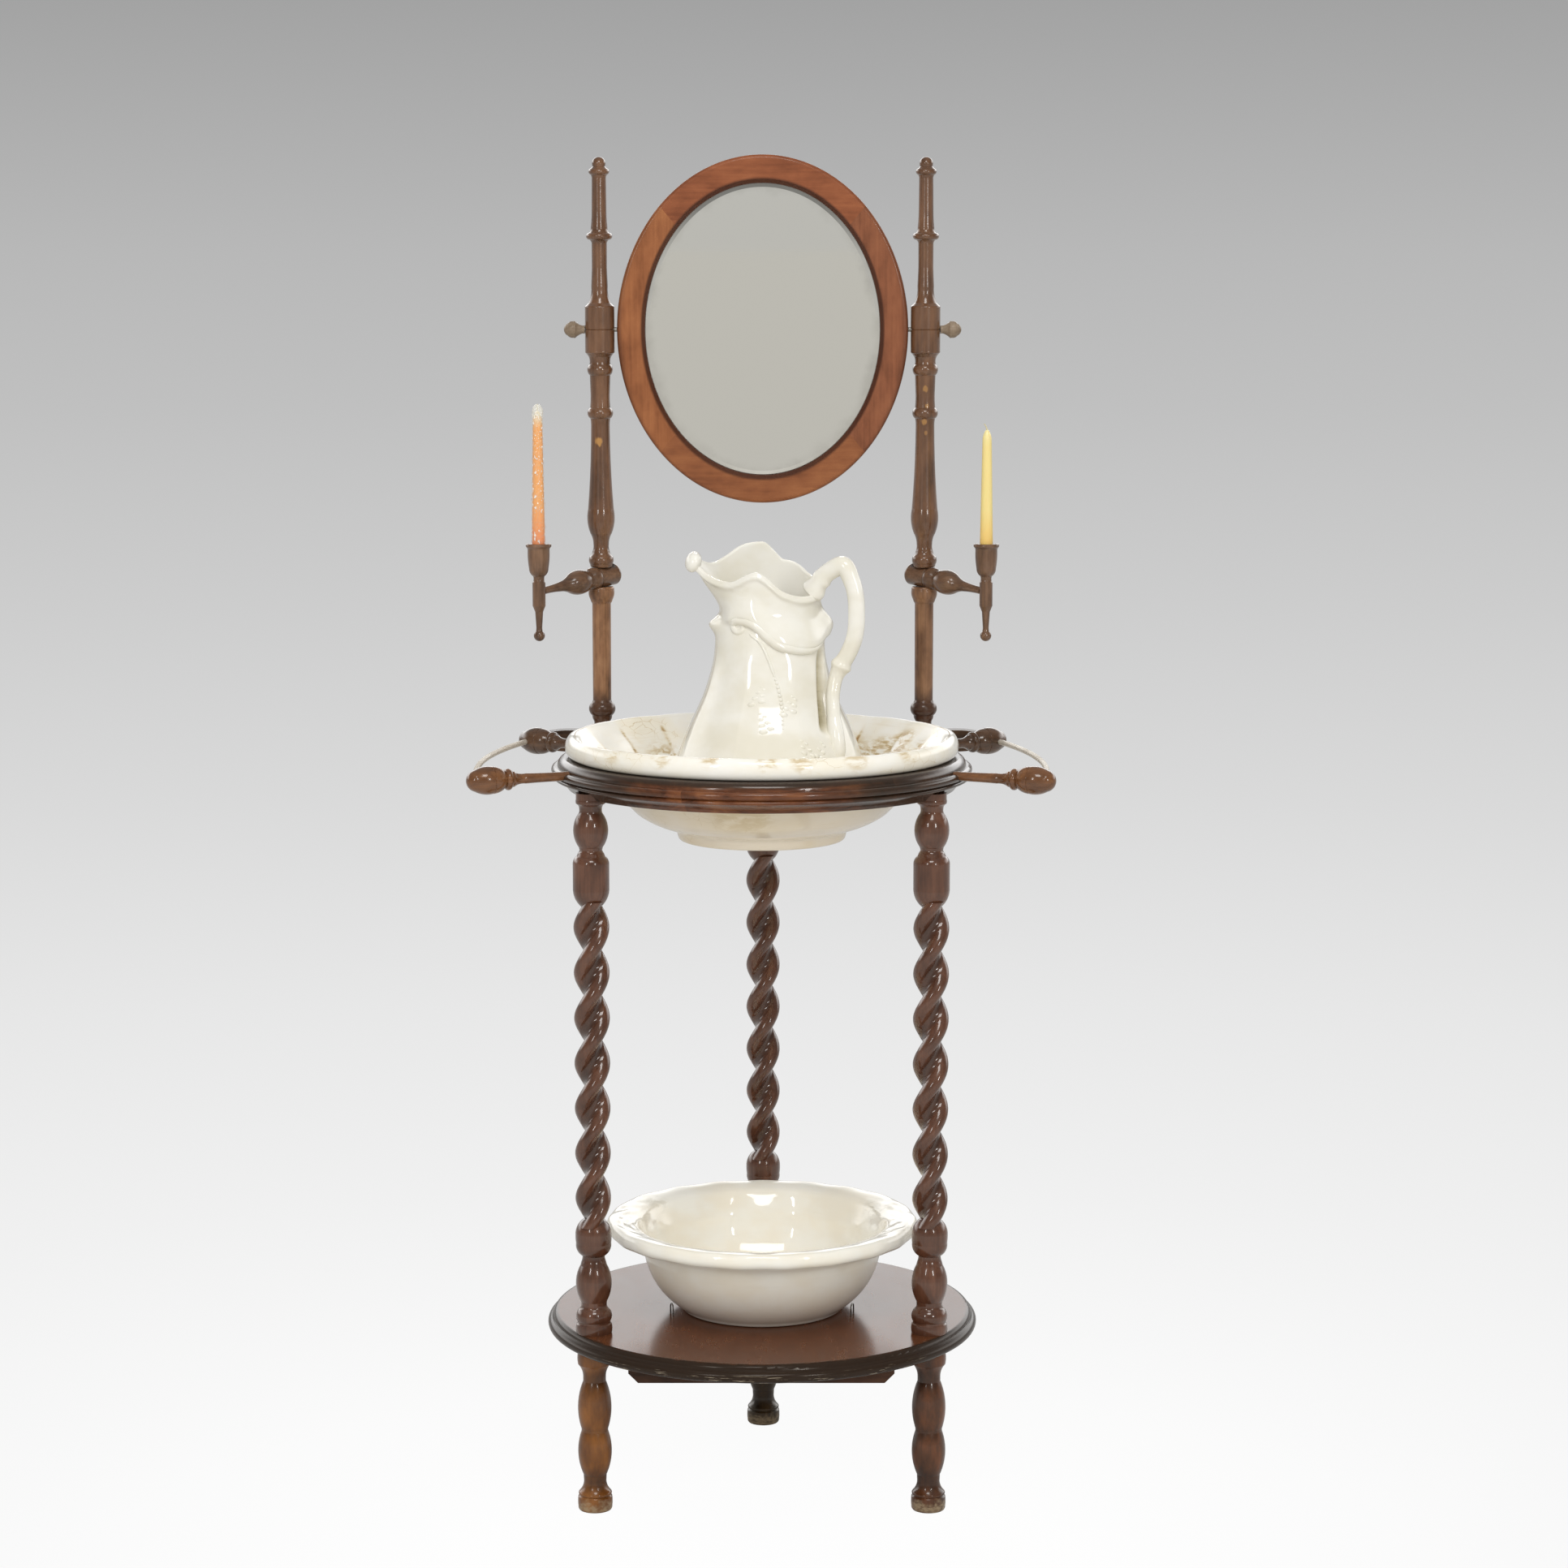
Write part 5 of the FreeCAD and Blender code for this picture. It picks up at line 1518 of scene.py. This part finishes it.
@dataclass
class LowerBowl:
    """Bowl on the shelf: wide flat rim with a faint wave, rounded body and low foot."""

    level: float = 227.0
    height: float = 119.0
    radius: float = 197.0
    opening: float = 159.0
    foot: float = 104.0
    wall: float = 7.0
    flutes: int = 10
    flute_depth: float = 2.0
    flute_low: Pair = (100.0, 130.0)
    flute_high: Pair = (160.0, 146.0)
    flange_end: Pair = (192.0, 184.0)
    edge_from: Pair = (176.0, 192.0)
    sprig_height: float = 0.9
    columns: int = 320

    def shape(self) -> tuple[np.ndarray, dict[str, np.ndarray]]:
        """Turn the wall's outline, with broad shallow waves inside and small lumps on the rim.

        Returns:
            A grid of rows x columns x 3, and a mark that is 1 outside below the rim.
        """
        lip = self.level + self.height
        bottom = self.level + 4.0
        radius, height, inside = profile([
            (1.0, bottom, 0.0),
            (self.foot - 11.0, bottom, 0.0),
            (self.foot - 8.0, self.level, 0.0),
            (self.foot - 1.5, self.level, 0.0),
            (self.foot, bottom, 0.0),
            (self.opening - 8.0, lip - 34.0, 12.0),
            (self.opening + 8.0, lip - 23.0, -1.5),
            (self.radius - 4.0, lip - 21.0, 0.0),
            (self.radius - 4.0, lip - 1.5, 4.2),
            (self.opening + 5.0, lip - 6.0, 1.0),
            (self.opening - 4.0, lip - 14.0, 1.6),
            (self.opening - 15.0, lip - 36.0, 0.0),
            (self.foot - 12.0, bottom + self.wall, -12.0),
            (1.0, bottom + self.wall, 0.0),
        ], 2.0)
        angle = around(self.columns)
        zone = inside * step(radius, *self.flute_low) * step(radius, *self.flute_high)
        radius = radius + zone * self.flute_depth * np.cos(self.flutes * angle)
        flange = inside * step(radius, self.opening, self.opening + 10.0) * step(radius, *self.flange_end)
        sides = np.maximum(0.0, np.cos(2 * angle)) ** 2
        sprig = np.sin(17 * angle + 2.0 * np.sin(5 * angle) + 0.11 * radius) * np.sin(0.3 * radius)
        sprig = sprig + 0.5 * np.sin(29 * angle - 0.2 * radius)
        edge = step(radius, *self.edge_from)
        radius = radius - edge * (1.2 * np.abs(np.sin(5 * angle)) + 0.5 * np.sin(13 * angle) ** 2)
        outside = (1.0 - inside) * step(height, lip - 18.0, lip - 30.0)
        lift = flange * self.sprig_height * sides * sprig - edge * 0.8 * np.sin(10 * angle) ** 2
        return turned(radius, angle, height + lift), {"outside": outside}

    def build(self) -> None:
        """Make the bowl with grey marks on the sides of its rim."""
        spots = (
            Spot(-176.0, -40.0, 343.0, 30.0, 0.4, 1.6),
            Spot(172.0, -50.0, 343.0, 34.0, 0.45, 1.6),
            Spot(150.0, 70.0, 341.0, 36.0, 0.4, 1.6),
            Spot(-140.0, 90.0, 341.0, 30.0, 0.3, 1.6),
        )
        # The outside share paints warm light reflected from the wood shelf onto the bowl's outside
        glaze = GlazeFinish(
            "bowl_glaze", paint(251, 248, 237), paint(248, 241, 224), paint(170, 164, 146),
            spots=spots, wash=0.08, wood_bounce=0.05, halo=paint(214, 208, 190),
        )
        grid, marks = self.shape()
        seat(skin("shelf_bowl", [grid], marks=marks), "bowl", "bowl_glaze", glaze.material(), "lower_bowl")


@dataclass
class Jug:
    """Ewer in the basin: panelled body, draped neck, waved and rolled rim, spout curl, handle and relief.

    A ruffle is (depth, level, half height, angle, half angle). A place on the wall is (x from the axis,
    height), and one on the handle's arch is (distance from the axis, height, degrees).
    """

    axis_x: float = 10.0
    foot: float = 844.0
    crown: float = 1192.0
    wall: float = 5.0
    floor_thickness: float = 8.0
    panels: int = 8
    panel_turn: float = 0.393
    panel_depth: float = 2.2
    panel_top: Pair = (1088.0, 1050.0)
    panel_foot: Pair = (850.0, 880.0)
    drape_height: float = 5.5
    drape_low: Pair = (-4.0, 5.0)
    drape_high: Pair = (40.0, 8.0)
    drape_left: Pair = (-62.0, -44.0)
    ruffles: tuple = ((12.0, 1098.0, 10.0, math.pi, 0.34), (11.0, 1102.0, 15.0, 0.0, 0.26))
    slot_depth: float = 18.0
    slot_width: float = 0.085
    slot_start: Pair = (-0.43, 1062.0)
    slot_slant: float = 0.0039
    slot_low: Pair = (964.0, 984.0)
    slot_high: Pair = (1074.0, 1054.0)
    rim_turn: float = 0.12
    rim_rounds: int = 8
    bead: float = 3.0
    bead_drop: float = 4.0
    bead_width: float = 3.6
    lip_rise: float = 2.6
    swag_sink: float = 2.6
    scroll_turns: float = 1.35
    scroll_drop: float = 8.5
    chain_beads: int = 14
    chain_ridge: float = 0.46
    spray_leaves: int = 7
    handle_radius: float = 10.6
    handle_flat: float = 0.86
    columns: int = 320
    outer_rows: int = 190
    inner_rows: int = 90
    heights: tuple = (844, 860, 890, 930, 965, 1015, 1044, 1081, 1118, 1150, 1182, 1202)
    radii: tuple = (88, 112, 123, 118, 105, 83, 74.5, 67.5, 62.5, 66, 70, 71)
    spouts: tuple = (0, 0, 0, 0, 0, 0, 0, 0, 0, 16, 32, 44.8)
    squeezes: tuple = (1, 1, 1, 1, 1, 1, 1, 1, 1, 0.98, 0.94, 0.92)
    front_wave: tuple = (
        (-115, 18), (-96, 21), (-78, 34), (-50, 41), (-15, 28), (16, 51), (45, 59), (77, 50),
    )
    back_wave: tuple = (
        (-115, 18), (-96, 17), (-72, 23), (-55, 15), (-38, 4), (-20, 0), (-5, 1), (6, 11), (15, 20),
        (27, 23), (37, 27), (48, 36), (77, 50),
    )
    swag: tuple = (
        (-48, 1102), (-38, 1106.5), (-26, 1105), (-14.5, 1099), (-1.5, 1087), (12, 1077), (25, 1073),
        (38, 1070.5), (51, 1070), (60, 1074), (66, 1081),
    )
    chain: tuple = (
        (-25, 1091), (-11, 1080), (-1.5, 1060), (4.5, 1044), (10, 1028), (14, 1011), (16, 995), (17, 978),
    )
    sprays: tuple = ((-12, 1016), (-6, 984), (26, 1004), (44, 952), (62, 948))
    arch: tuple = (
        (57, 1138, -25), (82, 1166, -25), (99, 1173, -25), (112, 1153, -25), (118, 1115, -25),
        (115, 1085, -25), (107, 1066, -25), (98, 1050, -26), (92, 1034, -28), (91, 1016, -31),
        (97, 990, -36), (104, 966, -38.5), (107, 950, -39), (104, 936, -39),
    )

    def section(
        self, angle: np.ndarray, height: np.ndarray, inset: Numbers = 0.0,
    ) -> tuple[np.ndarray, np.ndarray]:
        """Outline at a height: a circle drawn out to the left by its cosine's cube, squeezed in depth.

        Args:
            angle: Angles about the jug's axis.
            height: Heights in millimetres.
            inset: Distance inside the outer wall.

        Returns:
            x from the axis, and y.
        """
        radius = curve(height, self.heights, self.radii) - inset
        spout = curve(height, self.heights, self.spouts)
        squeeze = curve(height, self.heights, self.squeezes)
        reach = radius + spout * np.maximum(0.0, -np.cos(angle)) ** 3
        return reach * np.cos(angle), radius * squeeze * np.sin(angle)

    def rim(self, angle: np.ndarray) -> np.ndarray:
        """Find the waved rim by a few rounds of moving x to the rim's flare.

        Args:
            angle: Angles about the jug's axis.

        Returns:
            The rim's height at each angle.
        """
        front, back = np.array(self.front_wave), np.array(self.back_wave)
        side = 0.5 + 0.5 * np.tanh(np.sin(angle) / self.rim_turn)
        height = np.full_like(angle, self.crown - 30.0)
        for _ in range(self.rim_rounds):
            x, _ = self.section(angle, height)
            drop = (1 - side) * curve(x, *front.T) + side * curve(x, *back.T)
            height = self.crown - drop
        return height

    def slot(self, angle: np.ndarray, height: np.ndarray) -> np.ndarray:
        """Sink a groove beside the handle's lower strand: a bell that turns to the front as it falls.

        Args:
            angle: Angles about the jug's axis.
            height: Heights in millimetres.

        Returns:
            Its depth.
        """
        turn, level = self.slot_start
        middle = turn - self.slot_slant * (level - height)
        ends = step(height, *self.slot_low) * step(height, *self.slot_high)
        return self.slot_depth * ends * bell(angle, middle, self.slot_width)

    def relief(self, angle: np.ndarray, height: np.ndarray) -> np.ndarray:
        """Depth of the body's forms: panels between ridges, the drape above its swag, and two ruffles.

        Args:
            angle: Angles about the jug's axis.
            height: Heights in millimetres.

        Returns:
            Outward moves in millimetres.
        """
        panel = -self.panel_depth * np.abs(np.sin(0.5 * self.panels * (angle - self.panel_turn)))
        relief = panel * step(height, *self.panel_top) * (0.4 + 0.6 * step(height, *self.panel_foot))
        x, _ = self.section(angle, height)
        above = height - curve(x, *np.array(self.swag).T)
        drape = self.drape_height * step(above, *self.drape_low) * step(above, *self.drape_high)
        relief = relief + drape * step(x, *self.drape_left)
        for depth, level, half_height, middle, half_angle in self.ruffles:
            ruffle = bell(height, level, half_height) * bell(np.abs(angle), middle, half_angle)
            relief = relief + depth * ruffle
        return relief - self.slot(angle, height)

    def body(self) -> bpy.types.Object:
        """Skin the wall: up the outside with its relief, round the rolled rim, and down the inside.

        Returns:
            The wall's piece; its crease mark is 1 along the slot beside the handle, where the glaze paints
            shade.
        """
        angle = around(self.columns, -math.pi)
        rim = self.rim(angle)
        rise = np.linspace(0.0, 1.0, self.outer_rows)[:, None]
        height = self.foot + rise * (rim - self.foot)
        bead = self.bead * bell(height, rim - self.bead_drop, self.bead_width)
        relief = self.relief(angle, height) * step(rise, 1.0, 0.97) + bead
        x, y = self.section(angle, height, -relief)
        outer = np.stack([self.axis_x + x, y, height], -1)
        floor = self.foot + self.floor_thickness
        depth = floor + np.linspace(1.0, 0.0, self.inner_rows)[:, None] * (rim - floor)
        x, y = self.section(angle, depth, self.wall + self.slot(angle, depth))
        inner = np.stack([self.axis_x + x, y, depth], -1)
        turn = np.linspace(0.0, math.pi, 9)[1:-1, None, None]
        middle = 0.5 * (outer[-1] + inner[0])
        lip = middle + (outer[-1] - middle) * np.cos(turn) + self.lip_rise * UP * np.sin(turn)
        grid = np.concatenate([outer, lip, inner])
        # Mark of the painted shade along the slot beside the handle
        crease = np.zeros(grid.shape[:2])
        crease[:len(outer)] = self.slot(angle, height) / self.slot_depth
        return skin("jug_body", [grid], marks={"crease": crease})

    def on_wall(
        self, x: np.ndarray, height: np.ndarray, side: int, sink: float,
    ) -> tuple[np.ndarray, np.ndarray]:
        """Points on the neck or body at a distance x from the axis.

        Args:
            x: Distances to the right of the axis.
            height: Heights.
            side: -1 for the front, 1 for the back.
            sink: Depth below the surface.

        Returns:
            Rows of points, and the directions that stand out of the wall there.
        """
        radius = curve(height, self.heights, self.radii)
        angle = side * np.arccos(np.clip(x / radius, -1.0, 1.0))
        out = radius + self.relief(angle, height) - sink
        return turned(out, angle, height, (self.axis_x, 0.0)), turned(1.0, angle, 0.0)

    def swags(self) -> list[np.ndarray]:
        """Rolls under the drape on both sides: a circle carried out of a scroll and along the swag's line.

        Returns:
            A grid for each side.
        """
        line = np.array(self.swag, float)
        wind = np.linspace(0.0, 1.0, 50)[:-1]
        turn = 0.5 * math.pi + self.scroll_turns * TAU * (1.0 - wind)
        reach = 1.5 + 7.0 * wind
        knots = np.linspace(0.0, 1.0, len(line) - 1)
        t = np.linspace(0.0, 1.0, 100)
        scroll_x = line[1, 0] + reach * np.cos(turn)
        scroll_z = line[1, 1] - self.scroll_drop + reach * np.sin(turn)
        x = np.concatenate([scroll_x, curve(t, knots, line[1:, 0])])
        z = np.concatenate([scroll_z, curve(t, knots, line[1:, 1])])
        radii = np.concatenate([2.4 + 3.4 * wind, 5.8 + 1.8 * np.sin(math.pi * t) - 2.2 * t])
        radii = radii * np.sqrt(np.clip(1.0 - np.linspace(-1.0, 1.0, len(x)) ** 30, 0.02, 1.0))
        grids = []
        for side in FRONT_AND_BACK:
            path, outward = self.on_wall(x, z, side, self.swag_sink)
            grids.append(tube(path, radii, outward, 16))
        return grids

    def beads(self) -> list[np.ndarray]:
        """Chains falling from the scrolls on both sides: a thin ridge that breaks up into beads.

        Returns:
            A grid for each ridge and bead.
        """
        line = np.array(self.chain, float)
        knots = np.linspace(0.0, 1.0, len(line))
        ridge = np.linspace(0.0, self.chain_ridge, 40)
        beads = np.linspace(self.chain_ridge, 1.0, self.chain_beads)
        swell = np.sin(math.pi * np.linspace(0.1, 1.0, self.chain_beads))
        size = (1.6 + 1.3 * swell)[:, None] * np.ones(3)
        thin = 2.1 * np.sqrt(np.clip(1.0 - np.linspace(-1.0, 1.0, len(ridge)) ** 8, 0.05, 1.0))
        grids = []
        for side in FRONT_AND_BACK:
            x, z = (curve(ridge, knots, column) for column in line.T)
            path, outward = self.on_wall(x, z, side, 0.3)
            grids.append(tube(path, thin, outward, 12))
            x, z = (curve(beads, knots, column) for column in line.T)
            grids += domes(self.on_wall(x, z, side, 1.0)[0], size)
        return grids

    def sprigs(self) -> list[np.ndarray]:
        """Raised sprays: leaves set in pairs along a short leaning stem, smaller towards its end.

        Returns:
            A grid for each leaf.
        """
        leaf = np.arange(self.spray_leaves)
        apart = np.where(leaf % 2 == 0, -1.0, 1.0) * (5.4 - 0.6 * leaf)
        rise = 3.6 * leaf - 11.0
        size = np.stack([6.6 - 0.5 * leaf, 2.2 - 0.1 * leaf, 4.6 - 0.3 * leaf], -1)
        grids = []
        for number, (x, z) in enumerate(self.sprays):
            lean = 0.35 * (-1) ** number
            for side in FRONT_AND_BACK:
                grids += domes(self.on_wall(x + apart + lean * rise, z + rise, side, 1.5)[0], size)
        return grids

    def handle(self) -> list[np.ndarray]:
        """Sweep an oval along the handle's arch, ringed at the knuckle, leafed where it leaves the rim.

        Returns:
            The handle's grid.
        """
        places = np.array(self.arch, float)
        gaps = np.hypot(*np.diff(places[:, :2], axis=0).T)
        knots = np.concatenate([[0.0], np.cumsum(gaps)])
        crest, knuckle, strand, foot_start, foot = knots[[2, 7, 8, 10, 11]]
        along = np.linspace(0.0, knots[-1], 180)
        out, z, degrees = (curve(along, knots, column) for column in places.T)
        turn = np.radians(degrees)
        path = turned(out, turn, z, (self.axis_x, 0.0))
        side = np.stack([-np.sin(turn), np.cos(turn), 0 * turn], -1)
        ring = 3.0 * bell(along, knuckle, 4.5)
        leaf = 3.4 * bell(along, 0.0, 24.0) + 1.4 * bell(along, crest, 16.0)
        slim = -1.6 * step(along, knuckle + 3.0, strand) + 2.0 * step(along, foot_start, foot)
        width = self.handle_radius + ring + leaf + slim
        lumps = 1.3 * np.sin(along / 3.2) * step(along, 30.0, 18.0)
        return [tube(path, np.stack([self.handle_flat * width, width + lumps], -1), side, 32)]

    def curl(self) -> list[np.ndarray]:
        """Curl across the spout's end: an oval carried in depth along a low arch, thin at both ends.

        Returns:
            The curl's grid.
        """
        t = np.linspace(-1.0, 1.0, 48)
        path = np.stack([self.axis_x - 95.0 + 5.0 * t * t, 17.0 * t, 1175.0 - 4.0 * t * t], -1)
        share = np.sqrt(np.clip(1.0 - t ** 4, 0.02, 1.0))
        return [tube(path, np.stack([13.0 * share, 9.6 * share], -1), np.array([0.35, 0.0, 1.0]), 28)]

    def build(self) -> None:
        """Make the jug's pieces in one glaze."""
        spots = (Spot(-30.0, -60.0, 1150.0, 26.0, 0.15), Spot(70.0, 30.0, 1140.0, 24.0, 0.25))
        # The crease share paints shade along the slot beside the handle, in the halo and stain colours
        glaze = GlazeFinish(
            "jug_glaze", paint(242, 239, 229), paint(233, 228, 212), paint(126, 112, 70),
            spots=spots, creases=0.85, broken=0.2, halo=paint(208, 199, 170),
        ).material()
        seat(self.body(), "jug", "jug_glaze", glaze, "jug")
        parts = {
            "jug_handle": self.handle(),
            "jug_swags": self.swags(),
            "jug_bead_chains": self.beads(),
            "jug_sprays": self.sprigs(),
            "jug_spout_curl": self.curl(),
        }
        for name, grids in parts.items():
            seat(skin(name, grids), "jug", "jug_glaze", glaze)


@dataclass
class Studio:
    """Pale floor, soft lamps, plain surroundings and the camera.

    Tones are (place, brightness) stops. Places on the floor and of the lamps are in metres. A lamp is (name,
    place, size, watts).
    """

    eye: Triple = (27.7, -4733.0, 1558.0)
    pitch_down: float = 7.90
    lens: float = 87.91
    sensor: float = 36.0
    shift_y: float = -0.0022
    far: float = 5000.0
    floor_rings: tuple = (4000.0, 150.0, 25.0, 6.0, 1.5, 0.5)
    floor_matt: Colour = (0.80, 0.79, 0.77)
    floor_tones: tuple = (
        (0.0, 1.0), (0.06, 1.0), (0.12, 0.973), (0.245, 0.88), (0.379, 0.80), (0.524, 0.70), (0.68, 0.61),
        (0.851, 0.527), (1.0, 0.478),
    )
    white_ahead: float = 0.4
    half_way: float = 6.0
    room_tones: tuple = ((0.0, 0.5), (0.07, 0.5), (0.16, 0.22), (0.45, 0.16), (1.0, 0.4))
    screen_tones: tuple = (
        (0.0, 0.478), (0.066, 0.36), (0.12, 0.9), (0.19, 2.5), (0.36, 2.5), (0.55, 0.3), (1.0, 0.4),
    )
    sky_light: float = 0.64
    aim: Triple = (0.0, 0.0, 0.9)
    lamps: tuple = (
        ("left_lamp", (-1.9, -3.7, 2.4), (0.3, 1.1), 21.0),
        ("right_lamp", (1.9, -3.7, 2.2), (0.3, 1.0), 25.0),
        ("top_lamp", (0.05, -2.4, 3.6), (1.2, 1.0), 34.0),
    )

    def camera(self) -> None:
        """Set the camera at the viewing angle, level from side to side and pitched down."""
        data = bpy.data.cameras.new("camera")
        data.lens = self.lens
        data.sensor_width = self.sensor
        data.shift_y = self.shift_y
        data.clip_end = self.far
        camera = link("camera", data)
        camera.location = [side * MM for side in self.eye]
        camera.rotation_euler = (math.radians(90.0 - self.pitch_down), 0.0, 0.0)
        bpy.context.scene.camera = camera

    def seen(self, shader: Shader) -> Wire:
        """1 for rays from the camera and through glass, 0 for rays that carry light or reflections."""
        return shader.ray("Camera").most(shader.ray("Transmission"))

    def floor(self) -> None:
        """Lay a round floor, white about the object, that greys with distance and is clear from below."""
        shader = Shader.named("floor_paint")
        x, y, _ = shader.axes(shader.place())
        away = x.hypot(y + self.white_ahead)
        share = away / (away + self.half_way)
        glow = shader.greys(share, self.floor_tones)
        lit = shader.add("ShaderNodeEmission", None, {"Color": glow, "Strength": 1.0})
        matt = shader.add("ShaderNodeBsdfDiffuse", None, {"Color": self.floor_matt})
        even = self.seen(shader) * (share.step(0.1, 0.4) * 0.03 + 0.97)
        top = shader.add("ShaderNodeMixShader", None, {0: even, 1: matt, 2: lit})
        clear = shader.add("ShaderNodeBsdfTransparent")
        below = shader.add("ShaderNodeNewGeometry", out="Backfacing")
        surface = shader.add("ShaderNodeMixShader", None, {0: below, 1: top, 2: clear})
        shader.add("ShaderNodeOutputMaterial", None, {"Surface": surface})
        grid = turned(np.array(self.floor_rings)[:, None] / MM, around(96), 0.0)
        middle = np.stack([grid[-1].mean(0)] * grid.shape[1])[None]
        piece = skin("floor", [np.concatenate([grid, middle])], ends=False)
        piece.data.materials.append(shader.owner)

    def surroundings(self) -> None:
        """Light evenly from all round, and show a dim room with a bright screen behind the object."""
        world = bpy.data.worlds.new("surroundings")
        bpy.context.scene.world = world
        shader = Shader(world)
        _, ahead, rise = shader.axes(shader.add("ShaderNodeTexCoord", out="Generated"))
        front = shader.greys(rise, self.room_tones)
        back = shader.greys(rise, self.screen_tones)
        sky = shader.mix(ahead.step(0.0, 0.4), front, back)
        shown = self.seen(shader).most(shader.ray("Glossy"))
        colour = shader.mix(shown, (self.sky_light,) * 3, sky)
        light = shader.add("ShaderNodeBackground", None, {"Color": colour, "Strength": 1.0})
        shader.add("ShaderNodeOutputWorld", None, {"Surface": light})

    def lamp(self, name: str, place: Triple, size: Pair, power: float) -> None:
        """Hang a soft box that faces the middle of the object.

        Args:
            name: Name of the lamp.
            place: Where it hangs.
            size: Its width and height.
            power: Watts.
        """
        data = bpy.data.lights.new(name, "AREA")
        data.shape = "RECTANGLE"
        data.size, data.size_y = size
        data.energy = power
        lamp = link(name, data)
        lamp.location = place
        lamp.rotation_euler = (Vector(place) - Vector(self.aim)).to_track_quat("Z", "Y").to_euler()

    def build(self) -> None:
        """Set up camera, floor, surroundings and lamps."""
        self.camera()
        self.floor()
        self.surroundings()
        for lamp in self.lamps:
            self.lamp(*lamp)
        bpy.context.scene.view_settings.view_transform = "Standard"
        log.info("studio ready")


def main() -> None:
    """Build the studio and every sub-assembly in order."""
    logging.basicConfig(level=logging.INFO, format="%(name)s: %(message)s")
    for part in (Studio(), Stand(), SwingMirror(), CandleArms(), Basin(), LowerBowl(), Jug()):
        part.build()


if __name__ == "__main__":
    main()
